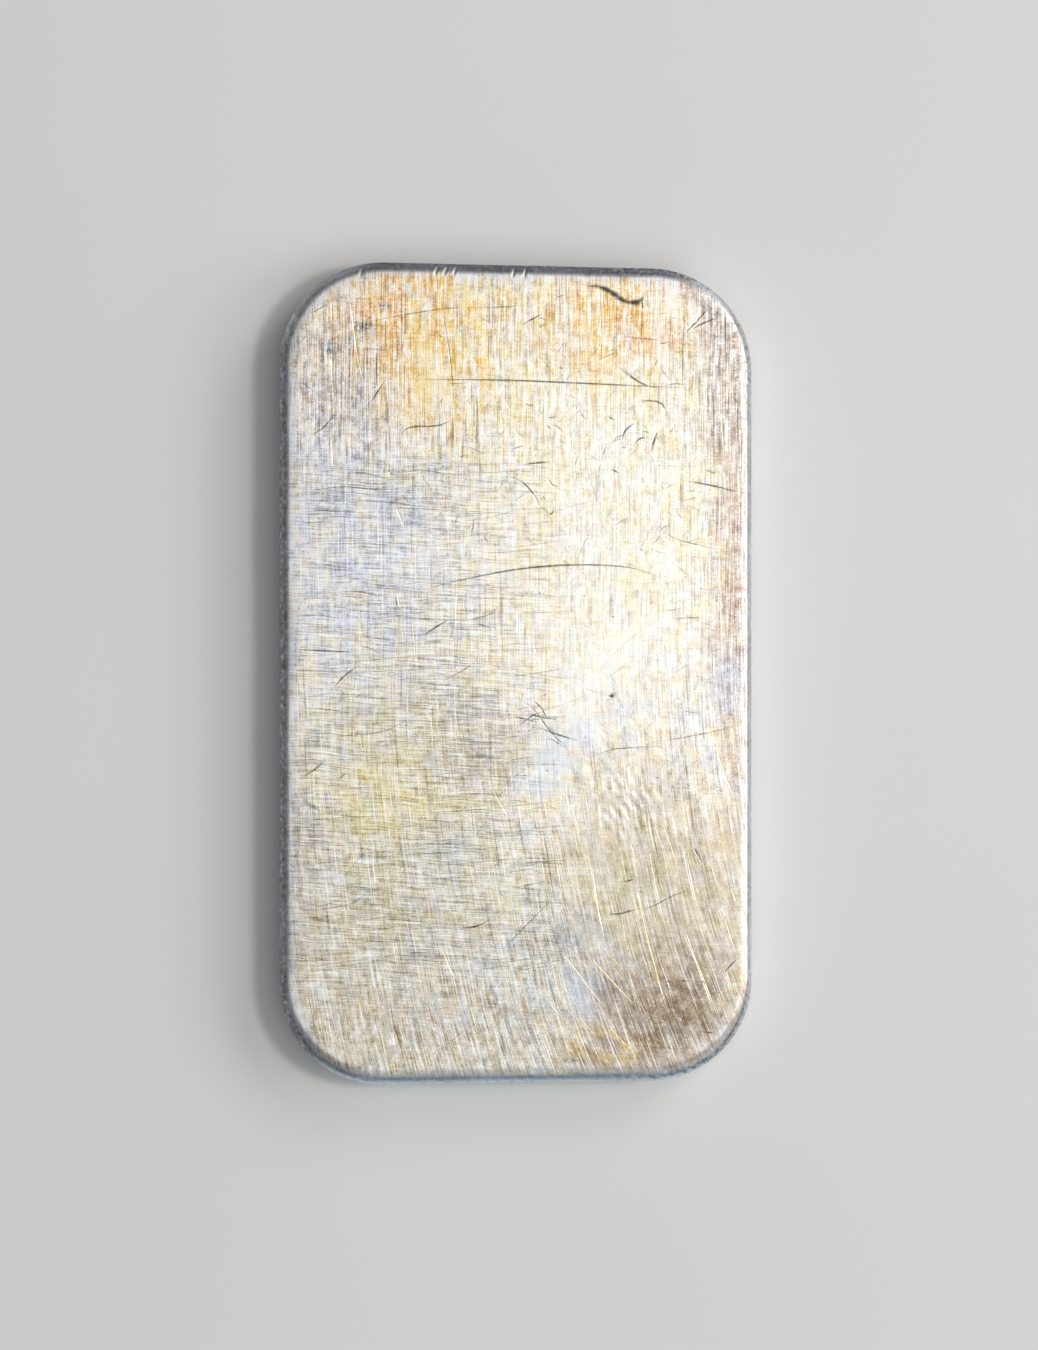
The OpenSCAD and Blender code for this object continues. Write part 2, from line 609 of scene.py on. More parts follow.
def spread_evenly(path: np.ndarray, count: int) -> np.ndarray:
    """Places points at equal distances along a path.

    Args:
        path: The path's own points.
        count: How many points to place.

    Returns:
        The placed points, from the path's first point to its last.
    """
    lengths = lengths_along(path)
    places = np.linspace(0.0, lengths[-1], count)
    return np.stack([np.interp(places, lengths, values) for values in path.T], axis=1)


def smooth_path(points: np.ndarray, pitch: float) -> np.ndarray:
    """Draws a smooth curve through a few points.

    Args:
        points: The points that the curve passes through.
        pitch: The distance to keep between points of the curve.

    Returns:
        Points along a Catmull-Rom curve.
    """
    padded = np.vstack([2 * points[0] - points[1], points, 2 * points[-1] - points[-2]])
    curve = [points[0]]
    for before, start, end, after in zip(padded[:-3], padded[1:-2], padded[2:-1], padded[3:]):
        count = max(2, round(float(np.linalg.norm(end - start)) / pitch))
        for share in np.linspace(0, 1, count + 1)[1:]:
            straight = 2 * start + (end - before) * share
            bent = (2 * before - 5 * start + 4 * end - after) * share**2
            turned = (3 * start - before - 3 * end + after) * share**3
            curve.append((straight + bent + turned) / 2)
    return np.array(curve)


@dataclass(frozen=True)
class Corner:
    """One rounded corner of the outline, and how far the upper face is set back there towards the head."""

    x: float
    y: float
    radius: float
    setback: float


# How worn the edge is where the outline faces these ways, in degrees from the X axis; the same shares set how
# much painted shade the side takes there
WORN_FACINGS = (58.0, 76.0, 222.0, 262.0, 285.0, 310.0, 340.0)
WORN_SHARES = (0.05, 1.0, 1.0, 0.05, 0.05, 0.45, 0.05)
FULL_TURN = 360


@dataclass(frozen=True)
class Station:
    """One place on the outline: the centre and radius it is drawn from, the way it faces, and its setback."""

    x: float
    y: float
    radius: float
    facing: float
    setback: float

    def outward(self) -> np.ndarray:
        """The way the outline faces here, as a unit vector."""
        return np.array([math.cos(self.facing), math.sin(self.facing)])

    def wear(self) -> float:
        """How worn the edge is here, and how much painted shade its side takes: fully at the left side and
        the head, hardly at the others.
        """
        return float(np.interp(math.degrees(self.facing) % FULL_TURN, WORN_FACINGS, WORN_SHARES))

    def point(self, inset: float, shift: float, height: float) -> np.ndarray:
        """Finds a point of the section here.

        Args:
            inset: How far in from the outline it lies.
            shift: The share of the setback that it is moved by.
            height: Its height.

        Returns:
            The point.
        """
        flat = np.array([self.x, self.y + shift * self.setback]) + (self.radius - inset) * self.outward()
        return np.array([flat[0], flat[1], height])


@dataclass(frozen=True)
class BarShape:
    """The bar's outline and section. Its length, width and thickness are those of the CAD node."""

    length: float
    width: float
    thickness: float
    head_corner_r: float = 11.1
    foot_corner_r: float = 11.0
    head_skew: float = 0.65
    foot_skew: float = 0.4
    upper_edge_r: float = 1.2
    lower_edge_r: float = 1.2
    foot_roll_setback: float = 0.6
    foot_roll_drop: float = 0.15
    shoulder_drop: float = 0.07
    shoulder_reach: float = 1.4
    long_wave: float = 0.30
    long_wave_pace: float = 0.21
    long_wave_start: float = 0.9
    slant_wave: float = 0.25
    slant_wave_paces: Point = (0.50, 0.37)
    corner_pitch: float = 0.2
    side_pitches: tuple[float, ...] = (0.1, 0.25, 0.2, 0.25)
    lower_rows: int = 7
    wall_rows: int = 5
    upper_rows: int = 14

    @classmethod
    def from_frame(cls) -> "BarShape":
        """Takes the CAD node's size.

        Returns:
            The shape that fills the node's box.
        """
        low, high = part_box(NODE)
        size = (high - low) / MM
        return cls(length=size.y, width=size.x, thickness=size.z)

    def corners(self) -> list[Corner]:
        """Places the outline's corners.

        Returns:
            The corners, counter-clockwise from the right one at the head.
        """
        head_x = self.width / 2 - self.head_corner_r
        head_y = self.length / 2 - self.head_corner_r
        foot_x = self.width / 2 - self.foot_corner_r
        foot_y = self.length / 2 - self.foot_corner_r
        return [
            Corner(head_x, head_y - self.head_skew, self.head_corner_r, 0.0),
            Corner(-head_x, head_y, self.head_corner_r, 0.0),
            Corner(-foot_x, -foot_y, self.foot_corner_r, self.foot_roll_setback),
            Corner(foot_x, -foot_y + self.foot_skew, self.foot_corner_r, self.foot_roll_setback),
        ]

    @staticmethod
    def facing_between(start: Corner, end: Corner) -> float:
        """The way the straight side from one corner to the next faces, as an angle."""
        run = Vector((end.x - start.x, end.y - start.y))
        return math.atan2(run.y, run.x) - math.acos((start.radius - end.radius) / run.length)

    def stations(self) -> list[Station]:
        """Goes round the outline, in smaller steps where there is more to show.

        Returns:
            The places, counter-clockwise.
        """
        corners = self.corners()
        stations = []
        for number, corner in enumerate(corners):
            following = corners[(number + 1) % len(corners)]
            arrives = self.facing_between(corners[number - 1], corner)
            leaves = self.facing_between(corner, following)
            sweep = (leaves - arrives) % math.tau
            count = round(corner.radius * sweep / self.corner_pitch)
            for share in np.linspace(0, 1, count + 1):
                facing = arrives + share * sweep
                stations.append(Station(corner.x, corner.y, corner.radius, facing, corner.setback))
            run = math.hypot(following.x - corner.x, following.y - corner.y)
            count = round(run / self.side_pitches[number])
            for share in np.linspace(0, 1, count + 1)[1:-1]:
                stations.append(
                    Station(
                        corner.x + share * (following.x - corner.x),
                        corner.y + share * (following.y - corner.y),
                        corner.radius + share * (following.radius - corner.radius),
                        leaves,
                        corner.setback + share * (following.setback - corner.setback),
                    )
                )
        return stations

    def shoulder(self, x: np.ndarray, y: np.ndarray) -> np.ndarray:
        """Finds how far the upper face's shoulder drops at a fully worn edge, which is more in some places.

        Args:
            x: Places across the bar.
            y: Places along the bar.

        Returns:
            The drop at each place.
        """
        swell = 1.0 + self.long_wave * np.sin(self.long_wave_pace * y + self.long_wave_start)
        swell = swell + self.slant_wave * np.sin(self.slant_wave_paces[0] * x + self.slant_wave_paces[1] * y)
        return self.shoulder_drop * swell

    def section(self, station: Station) -> np.ndarray:
        """Draws the bar's side at a station, from the rim of the lower face up to the rim of the upper one.

        Args:
            station: The place on the outline.

        Returns:
            One row of points, as many at every station.
        """
        low_r = self.lower_edge_r
        high_r = self.upper_edge_r
        nose = self.thickness - self.foot_roll_drop - high_r
        rolled = station.setback * max(0.0, -math.sin(station.facing))
        switch = math.atan2(rolled, self.foot_roll_drop)
        quarter = math.pi / 2
        points = [
            station.point(low_r * (1 - math.cos(turn)), 0.0, low_r * (1 - math.sin(turn)))
            for turn in np.linspace(quarter, 0.0, self.lower_rows)
        ]
        points += [station.point(0.0, 0.0, z) for z in np.linspace(low_r, nose, self.wall_rows + 1)[1:-1]]
        worn = station.wear() * self.shoulder(*station.point(high_r, 1.0, 0.0)[:2])
        slope = 2 * worn / self.shoulder_reach
        path = []
        for turn in np.linspace(0.0, switch, self.upper_rows):
            height = nose + high_r * math.sin(turn) - worn - slope * high_r
            path.append(station.point(high_r * (1 - math.cos(turn)), 0.0, height))
        for turn in np.linspace(switch, quarter, 2 * self.upper_rows):
            height = self.thickness - high_r - worn + high_r * (math.sin(turn) - slope * math.cos(turn))
            path.append(station.point(high_r * (1 - math.cos(turn)), 1.0, height))
        return np.vstack([points, spread_evenly(np.array(path), self.upper_rows)])


@dataclass(frozen=True)
class Dimples:
    """A patch of the upper face that is puckered into low ripples, placed by a pixel of the photograph."""

    pixel: Point = (630, 804)
    reach: Point = (4.2, 4.6)
    ripple: float = 1.0
    turn: float = 28.0
    depth: float = 0.05
    pitch: float = 0.24
    sway: float = 1.3
    sway_pace: float = 0.9
    break_pace: float = 1.1

    def points(self, centre: np.ndarray) -> np.ndarray:
        """Close points over the patch, which carry its ripples."""
        across, along = np.meshgrid(*(np.arange(-reach, reach, self.pitch) for reach in self.reach))
        return centre + np.stack([across.ravel(), along.ravel()], axis=1)

    def depths(self, points: np.ndarray, centre: np.ndarray) -> np.ndarray:
        """How deep the ripples are at each point of the face.

        Args:
            points: Points on the face.
            centre: The middle of the patch.

        Returns:
            Depth below the face, for each point.
        """
        offsets = points - centre
        turn = math.radians(self.turn)
        along = offsets @ np.array([math.cos(turn), math.sin(turn)])
        beside = offsets @ np.array([-math.sin(turn), math.cos(turn)])
        fade = np.clip(1 - np.sum((offsets / np.array(self.reach)) ** 2, axis=1), 0, 1)
        phase = math.tau * along / self.ripple + self.sway * np.sin(self.sway_pace * beside)
        waves = np.sin(phase) * np.cos(self.break_pace * beside)
        return self.depth * fade * (1 + waves) / 2


CUT_TO_RIM = 1


@dataclass
class CarvedFace:
    """One flat face of the bar, cut into triangles that follow its rim and the scratches on it."""

    rim: np.ndarray
    outward: np.ndarray
    wear: np.ndarray
    strokes: list[Stroke]
    seed: int
    extra: np.ndarray
    pitch: float = 0.85
    rim_steps: tuple[float, ...] = (0.25, 0.6, 1.1, 1.8)
    first_thinning: int = 2
    jitter: float = 0.25
    clearance: float = 0.12
    rim_clearance: float = 0.3
    least_points: int = 3
    weld: float = 1e-4

    def gaps(self, points: np.ndarray) -> np.ndarray:
        """How far each point lies inside the rim's line at each station."""
        reach = np.einsum("kj,kj->k", self.rim, self.outward)
        return reach[None, :] - points @ self.outward.T

    def inset(self, points: np.ndarray) -> np.ndarray:
        """How far inside the rim each point lies."""
        return np.min(self.gaps(points), axis=1)

    def nearest(self, points: np.ndarray) -> np.ndarray:
        """The number of the rim's station that is nearest to each point."""
        return np.argmin(self.gaps(points), axis=1)

    def trimmed(self) -> Iterator[Stroke]:
        """Cuts the strokes back to the face.

        Yields:
            Each stroke's longest stretch inside the rim, if it has one.
        """
        for stroke in self.strokes:
            inside = self.inset(stroke.path) > self.rim_clearance
            breaks = np.flatnonzero(np.diff(np.r_[False, inside, False].astype(int)))
            runs = sorted(zip(breaks[::2], breaks[1::2]), key=lambda run: run[0] - run[1])
            if runs and runs[0][1] - runs[0][0] >= self.least_points:
                path = stroke.path[runs[0][0] : runs[0][1]]
                yield replace(stroke, path=path)

    def filling(self) -> np.ndarray:
        """Spreads free points over the face.

        Returns:
            Rings of points just inside the rim, a loosely strewn grid within them, and the extra points.
        """
        rings = [
            (self.rim - step * self.outward)[::thinning]
            for thinning, step in enumerate(self.rim_steps, self.first_thinning)
        ]
        draw = np.random.default_rng(self.seed)
        low, high = self.rim.min(axis=0), self.rim.max(axis=0)
        across, along = np.meshgrid(*(np.arange(a, b, self.pitch) for a, b in zip(low, high)))
        grid = np.stack([across.ravel(), along.ravel()], axis=1)
        grid += draw.uniform(-self.jitter, self.jitter, grid.shape) * self.pitch
        grid = grid[self.inset(grid) > self.rim_steps[-1] + self.pitch / 2]
        return np.vstack([*rings, grid, self.extra])

    def cut(self) -> tuple[np.ndarray, list[list[int]], list[list[int]]]:
        """Triangulates the face.

        Returns:
            The points, the triangles, and for each point the numbers of the rim points that it stands for.
        """
        self.strokes = list(self.trimmed())
        free = self.filling()
        for stroke in self.strokes:
            margin = stroke.half_width + self.clearance
            low, high = stroke.path.min(axis=0) - margin, stroke.path.max(axis=0) + margin
            near = np.all((free > low) & (free < high), axis=1)
            near[near] = stroke.gap(free[near]) < margin
            free = free[~near]
        points = [*self.rim, *free]
        edges = [(number, (number + 1) % len(self.rim)) for number in range(len(self.rim))]
        for stroke in self.strokes:
            middle, left, right = stroke.rows()
            first = len(points)
            last = first + len(middle) - 1
            points.extend(middle)
            edges += zip(range(first, last), range(first + 1, last + 1))
            for lip in (left, right):
                start = len(points)
                points.extend(lip[1:-1])
                chain = [first, *range(start, len(points)), last]
                edges += zip(chain[:-1], chain[1:])
        flat = [Vector((float(x), float(y))) for x, y in points]
        done, _, triangles, origins, _, _ = delaunay_2d_cdt(flat, edges, [], CUT_TO_RIM, self.weld)
        rim_count = len(self.rim)
        stands_for = [[number for number in origin if number < rim_count] for origin in origins]
        return np.array([tuple(point) for point in done]), triangles, stands_for

    def tones(self, points: np.ndarray) -> tuple[np.ndarray, np.ndarray, np.ndarray]:
        """Works out what the scratches do at each point of the face.

        Args:
            points: Points on the face.

        Returns:
            Depth below the face, darkness and brightness, one value each for each point.
        """
        depth, dark, bright = np.zeros((3, len(points)))
        for stroke in self.strokes:
            low = stroke.path.min(axis=0) - stroke.half_width
            high = stroke.path.max(axis=0) + stroke.half_width
            near = np.flatnonzero(np.all((points >= low) & (points <= high), axis=1))
            weight = stroke.weight(points[near])
            depth[near] = np.maximum(depth[near], weight * stroke.depth)
            dark[near] = np.maximum(dark[near], weight * stroke.dark)
            bright[near] = np.maximum(bright[near], weight * stroke.bright)
        return depth, dark, bright


def flat_sheet(name: str, low: Point, high: Point) -> bpy.types.Mesh:
    """Makes a mesh of one level rectangle.

    Args:
        name: The mesh's name.
        low: Its corner with the lowest values.
        high: Its corner with the highest values.

    Returns:
        The mesh, at a height of 0.
    """
    (left, bottom), (right, top) = low, high
    mesh = bpy.data.meshes.new(name)
    corners = [(left, bottom, 0), (right, bottom, 0), (right, top, 0), (left, top, 0)]
    mesh.from_pydata(corners, [], [(0, 1, 2, 3)])
    return mesh


class ScratchStrewer:
    """Strews scratches over a patch with a Geometry Nodes tree, and reads them back as paths."""

    segments = 6
    shortest = 0.4
    longest = 1.7
    least_force = 0.6
    most_force = 1.2

    def __init__(self) -> None:
        """Builds the tree: points on the patch, a bent wire on each, turned and stretched at random.

        The tree's inputs are those of a scatter, with its angles in radians.
        """
        number = "NodeSocketFloat"
        inputs = {"Density": number, "Length": number, "Bend": number, "Turn": number, "Spread": number}
        self.shape = ShapeTree("strewn_scratches", inputs | {"Seed": "NodeSocketInt"})
        bench = self.shape.bench
        length, bend, turn, spread, seed = map(self.shape.input, ("Length", "Bend", "Turn", "Spread", "Seed"))
        strewn = {"Mesh": self.shape.input("Geometry"), "Density": self.shape.input("Density"), "Seed": seed}
        points = bench.wire("GeometryNodeDistributePointsOnFaces", {"distribute_method": "RANDOM"}, strewn)
        ends = {
            "Resolution": self.segments,
            "Start": bench.vector(length * -MIDDLE, 0.0, 0.0),
            "Middle": bench.vector(0.0, bend, 0.0),
            "End": bench.vector(length * MIDDLE, 0.0, 0.0),
        }
        curve = bench.wire("GeometryNodeCurveQuadraticBezier", sockets=ends)
        wire = bench.wire("GeometryNodeCurveToMesh", sockets={"Curve": curve})
        facing = bench.vector(0.0, 0.0, self.random(turn - spread, turn + spread, seed))
        stretched = self.random(self.shortest, self.longest, seed + 1)
        bowed = self.random(-1.0, 1.0, seed + 2)
        placed = {
            "Points": points,
            "Instance": wire,
            "Rotation": bench.wire("FunctionNodeEulerToRotation", sockets={"Euler": facing}),
            "Scale": bench.vector(stretched, bowed, 1.0),
        }
        self.shape.close(bench.wire("GeometryNodeInstanceOnPoints", sockets=placed))

    def random(self, low: Operand, high: Operand, seed: Wire) -> Wire:
        """A random value for each scratch."""
        limits = {"Min": low, "Max": high, "Seed": seed}
        return self.shape.bench.wire("FunctionNodeRandomValue", {"data_type": "FLOAT"}, limits, "Value")

    def strew(self, scatter: Scatter) -> list[Stroke]:
        """Strews one kind of scratch.

        Args:
            scatter: The kind of scratch and its patch.

        Returns:
            The scratches.
        """
        patch = flat_sheet("patch", scatter.low, scatter.high)
        values = {
            "Density": scatter.per_square,
            "Length": scatter.length,
            "Bend": scatter.bend,
            "Turn": math.radians(scatter.turn),
            "Spread": math.radians(scatter.spread),
            "Seed": scatter.seed,
        }
        wires = self.shape.run(patch, values)
        places = np.empty(3 * len(wires.vertices))
        wires.vertices.foreach_get("co", places)
        bpy.data.meshes.remove(wires)
        paths = places.reshape(-1, self.segments + 1, 3)[:, :, :2]
        draw = random.Random(scatter.seed)
        forces = [draw.uniform(self.least_force, self.most_force) for _ in paths]
        return [self.stroke(path, scatter.cut.value, force) for path, force in zip(paths, forces)]

    @staticmethod
    def stroke(path: np.ndarray, blade: Blade, force: float) -> Stroke:
        """One scratch, drawn with a blade at some force."""
        half_width = blade.width / 2 * force
        return Stroke(path, half_width, blade.depth * force, blade.dark * force, blade.bright * force)


@dataclass(frozen=True)
class PhotoSheet:
    """Where the bar lies in the photograph, to turn a pixel into a place on the bar."""

    pixels: Point = (1038, 1350)
    bar_middle: Point = (515.4, 673.4)
    bar_width: float = 472.6

    def scale(self, bar: BarShape) -> float:
        """Millimetres to a pixel."""
        return bar.width / self.bar_width

    def place(self, bar: BarShape, pixel: Point) -> Point:
        """The place on the bar under a pixel."""
        scale = self.scale(bar)
        return ((pixel[0] - self.bar_middle[0]) * scale, (self.bar_middle[1] - pixel[1]) * scale)


@dataclass(frozen=True)
class Nick:
    """A slanting nick over the upper edge at the head, from a pixel on the edge to a pixel on the face."""

    edge: Point
    face: Point
    width: float
    depth: float


HEAD_NICKS = (
    Nick((365, 265), (360, 279), 0.34, 0.10),
    Nick((440, 264), (435, 275), 0.28, 0.08),
    Nick((450, 264), (444, 275), 0.28, 0.08),
    Nick((459, 264), (454, 274), 0.28, 0.08),
    Nick((517, 265), (512, 279), 0.28, 0.08),
    Nick((528, 266), (523, 281), 0.26, 0.08),
)


class WearTree:
    """The wear of handling: slow waves over the whole bar, and dents and pits that crowd on its edges."""

    hollow_detail = 1.0
    hollow_roughness = 0.5

    def __init__(self) -> None:
        """Builds the tree, which only ever takes metal away.

        Its sizes and depths are in metres, and its dents are counted to a square metre.
        """
        waves = ("Wave size", "Wave depth", "Ripple size", "Ripple depth", "Pit size", "Pit depth")
        dents = ("Dents", "Edge dents", "Dent radius", "Dent depth")
        inputs = dict.fromkeys(waves + dents, "NodeSocketFloat")
        self.shape = ShapeTree("handling_wear", inputs | {"Seed": "NodeSocketInt"})
        bench = self.shape.bench
        bar = self.shape.input("Geometry")
        place = bench.wire("GeometryNodeInputPosition")
        named = {"Name": "edge"}
        edge = bench.wire("GeometryNodeInputNamedAttribute", {"data_type": "FLOAT"}, named, "Attribute")
        waved = self.swell(place, "Wave size", "Wave depth")
        rippled = self.swell(place, "Ripple size", "Ripple depth")
        hollows = waved + rippled + self.swell(place, "Pit size", "Pit depth") * edge
        density = self.shape.input("Dents") + self.shape.input("Edge dents") * edge
        strewn = {"Mesh": bar, "Density": density, "Seed": self.shape.input("Seed")}
        points = bench.wire("GeometryNodeDistributePointsOnFaces", {"distribute_method": "RANDOM"}, strewn)
        target = {"Geometry": points, "Sample Position": place}
        gap = bench.wire("GeometryNodeProximity", {"target_element": "POINTS"}, target, "Distance")
        share = gap / self.shape.input("Dent radius")
        dented = bench.step(share, 1.0, 0.0) * self.shape.input("Dent depth")
        normal = bench.wire("GeometryNodeInputNormal")
        push = {0: normal, "Scale": (hollows + dented) * -1.0}
        offset = bench.wire("ShaderNodeVectorMath", {"operation": "SCALE"}, push, "Vector")
        worn = bench.wire("GeometryNodeSetPosition", sockets={"Geometry": bar, "Offset": offset})
        self.shape.close(worn)

    def swell(self, place: Wire, size: str, depth: str) -> Wire:
        """Makes rounded hollows of one size and depth.

        Args:
            place: Where the surface is.
            size: Name of the input with the hollows' size.
            depth: Name of the input with their depth.

        Returns:
            The depth below the surface.
        """
        bench = self.shape.bench
        inverse = bench.math("DIVIDE", 1.0, self.shape.input(size))
        lumps = {0: place, "Scale": inverse}
        scaled = bench.wire("ShaderNodeVectorMath", {"operation": "SCALE"}, lumps, "Vector")
        return bench.noise(scaled, self.hollow_detail, self.hollow_roughness) * self.shape.input(depth)

    def wear(self, mesh: bpy.types.Mesh, finish: bpy.types.Material) -> bpy.types.Mesh:
        """Wears a mesh and gives it its finish.

        Args:
            mesh: The mesh, in metres, which is then discarded.
            finish: Its material.

        Returns:
            The worn mesh.
        """
        values = {
            "Wave size": 11 * MM,
            "Wave depth": 0.030 * MM,
            "Ripple size": 1.6 * MM,
            "Ripple depth": 0.010 * MM,
            "Dents": 0.006 / MM**2,
            "Edge dents": 0.12 / MM**2,
            "Dent radius": 0.7 * MM,
            "Dent depth": 0.03 * MM,
            "Pit size": 0.5 * MM,
            "Pit depth": 0.025 * MM,
            "Seed": 41,
            "Finish": finish,
        }
        return self.shape.run(mesh, values)


class Vein(Enum):
    """The three unlike patterns of clouds and streaks that a stain can follow."""

    FIRST = 0
    SECOND = 1
    THIRD = 2


@dataclass(frozen=True)
class Stain:
    """A soft patch of tarnish or polish on the upper face.

    Its centre and reach are in millimetres on the face, and its turn in degrees. Grain is how far the pattern
    that it follows breaks it up.
    """

    name: str
    centre: Point
    reach: Point
    colour: Colour
    strength: float
    vein: Vein
    turn: float = 0.0
    grain: float = 0.7


BARE = tint(250, 248, 240)
BLUSH = tint(242, 214, 194)
GOLD = tint(255, 218, 116)
STRAW = tint(252, 236, 172)
ORANGE = tint(236, 174, 104)
PALE = tint(255, 254, 248)
ICE = tint(224, 232, 244)
LAVENDER = tint(214, 219, 234)
MAUVE = tint(184, 172, 172)
SMOKE = tint(164, 166, 172)
KHAKI = tint(204, 197, 162)
OLIVE = tint(180, 175, 148)
TAN = tint(202, 180, 152)
BROWN = tint(142, 120, 96)
SLATE = tint(126, 132, 142)
LILAC = tint(186, 184, 196)
UMBER = tint(206, 178, 160)
WHITE = tint(255, 254, 250)
MARGIN = tint(236, 240, 248)
# Gold of the glints' painted highlight on the face, and of the golden rolling lines
GLEAM = tint(255, 240, 190)
GRIME = tint(158, 153, 146)
LINE_GREY = tint(146, 132, 116)
HAIR_GREY = tint(122, 128, 134)
# The dark of the scratches: tarnish in the grooves and painted shade on their walls
SCRATCH = tint(112, 110, 106)
# The next two are painted light on the foot's rounded edge: a bluish reflection with shade over its inner
# part, and a highlight along its outer edge
FOOT_SHEEN = tint(150, 176, 196)
FOOT_HIGHLIGHT = tint(216, 238, 250)
COOL_SIDE = tint(232, 234, 238)
GREY_SIDE = tint(214, 214, 214)
PIT = tint(116, 121, 130)
SPOT = tint(84, 80, 70)
GREY_SPOT = tint(136, 142, 150)

STAINS = (
    Stain("khaki lower left", (-12.0, -20.0), (19.0, 28.0), KHAKI, 0.95, Vein.SECOND, grain=0.6),
    Stain("olive foot", (-6.0, -38.0), (26.0, 15.0), OLIVE, 1.00, Vein.FIRST, grain=0.55),
    Stain("mauve lower left edge", (-23.0, -20.0), (4.0, 15.0), MAUVE, 0.45, Vein.THIRD, grain=0.6),
    Stain("straw lower left", (-13.0, -13.0), (10.0, 8.0), STRAW, 0.55, Vein.FIRST, grain=0.8),
    Stain("blue-grey lower left", (-7.5, -19.5), (5.0, 5.0), LAVENDER, 0.60, Vein.THIRD, grain=0.6),
    Stain("straw middle", (-3.0, 22.0), (12.0, 24.0), STRAW, 0.30, Vein.SECOND),
    Stain("gold head", (-10.0, 36.0), (12.0, 15.0), GOLD, 0.85, Vein.SECOND, grain=0.8),
    Stain("orange head", (-14.0, 38.0), (9.0, 10.0), ORANGE, 0.58, Vein.FIRST, grain=0.9),
    Stain("orange at the head's right", (13.0, 38.0), (14.0, 8.0), ORANGE, 0.65, Vein.FIRST, grain=0.9),
    Stain("gold at the head's right", (9.0, 36.0), (13.0, 9.0), GOLD, 0.60, Vein.SECOND, grain=0.8),
    Stain("mauve upper left", (-19.0, 30.0), (7.0, 10.0), MAUVE, 0.80, Vein.THIRD),
    Stain("blue left", (-17.0, 13.0), (15.0, 18.0), LAVENDER, 0.75, Vein.THIRD, grain=0.5),
    Stain("smoky bars", (-14.0, 20.0), (11.0, 3.5), SMOKE, 0.40, Vein.FIRST),
    Stain("mauve middle", (-4.5, -8.0), (7.0, 7.0), MAUVE, 0.60, Vein.THIRD),
    Stain("right margin", (25.0, 10.0), (5.0, 36.0), UMBER, 1.00, Vein.FIRST, grain=0.45),
    Stain("dull right rim", (25.3, -2.0), (1.7, 42.0), MAUVE, 0.80, Vein.SECOND, grain=0.4),
    Stain("mauve at the upper right", (22.7, 33.0), (5.5, 13.0), MAUVE, 0.70, Vein.FIRST, grain=0.5),
    Stain(
        "dull upper right corner", (21.3, 39.2), (6.0, 1.7), MAUVE, 0.85, Vein.SECOND, turn=-45.0, grain=0.5
    ),
    Stain("lavender at the right", (22.8, -1.0), (2.4, 5.5), LAVENDER, 0.80, Vein.SECOND, grain=0.5),
    Stain("peach right", (15.0, -23.0), (14.0, 18.0), BLUSH, 0.40, Vein.SECOND, grain=0.6),
    Stain("tan right", (17.5, -29.0), (13.0, 18.0), TAN, 0.95, Vein.FIRST, grain=0.6),
    Stain("lilac right", (14.0, -27.0), (13.0, 15.0), LILAC, 0.50, Vein.THIRD, grain=0.8),
    Stain("khaki right", (13.0, -23.0), (14.0, 17.0), KHAKI, 0.75, Vein.FIRST, grain=0.5),
    Stain("peach foot", (-8.0, -36.0), (20.0, 12.0), BLUSH, 0.35, Vein.SECOND, grain=0.8),
    Stain("blue foot", (-2.0, -34.0), (18.0, 12.0), ICE, 0.42, Vein.THIRD, grain=0.8),
    Stain("icy foot", (6.5, -31.5), (6.0, 10.0), SMOKE, 0.65, Vein.THIRD, turn=25.0, grain=0.5),
    Stain("brown foot right", (16.5, -37.0), (10.5, 9.0), BROWN, 0.95, Vein.FIRST, grain=0.35),
    Stain("brown foot middle", (9.5, -41.0), (7.0, 3.6), BROWN, 0.75, Vein.FIRST, turn=-20.0, grain=0.6),
    Stain("gold at the foot", (9.0, -40.0), (7.0, 2.4), GOLD, 0.45, Vein.SECOND, turn=-15.0, grain=0.9),
    Stain("dark spot", (-16.4, 37.4), (1.25, 0.85), SPOT, 0.95, Vein.FIRST, turn=15.0, grain=0.1),
    Stain("grey spot", (-20.0, 35.1), (1.1, 0.75), GREY_SPOT, 0.90, Vein.FIRST, turn=10.0, grain=0.1),
    Stain("pale spot", (-14.1, 39.6), (0.9, 0.55), GREY_SPOT, 0.80, Vein.FIRST, turn=-10.0, grain=0.1),
)
POLISH = (
    Stain("polished right", (9.0, 15.0), (17.0, 28.0), PALE, 0.36, Vein.THIRD, grain=0.5),
    Stain("yellow flash at the head", (-9.8, 33.5), (1.8, 6.0), STRAW, 0.60, Vein.THIRD, turn=4.0, grain=0.6),
    Stain("white flash at the head", (-8.2, 31.0), (1.1, 5.0), PALE, 0.55, Vein.SECOND, turn=3.0, grain=0.6),
    Stain(
        "white flash at the head's right", (16.9, 40.2), (1.1, 3.2), PALE, 0.70, Vein.THIRD,
        turn=8.0, grain=0.5,
    ),
    Stain("second flash there", (15.7, 35.6), (1.2, 3.6), PALE, 0.70, Vein.SECOND, turn=4.0, grain=0.5),
    Stain("third flash there", (19.8, 34.8), (0.9, 3.0), PALE, 0.60, Vein.THIRD, turn=4.0, grain=0.5),
    Stain(
        "pale lower right corner", (21.2, -39.7), (6.5, 1.4), MARGIN, 0.50, Vein.THIRD, turn=45.0, grain=0.8
    ),
    Stain("pale line along the foot", (-1.0, -42.9), (26.0, 0.7), MARGIN, 0.55, Vein.THIRD, grain=0.9),
    Stain("icy swathe", (9.5, 0.5), (11.0, 3.6), PALE, 0.55, Vein.THIRD, turn=40.0, grain=0.4),
    Stain("second icy swathe", (4.5, -9.0), (8.0, 3.2), ICE, 0.50, Vein.THIRD, turn=50.0, grain=0.4),
    Stain("icy patch at the foot", (7.0, -34.5), (2.6, 4.6), ICE, 0.45, Vein.THIRD, turn=28.0, grain=0.7),
)


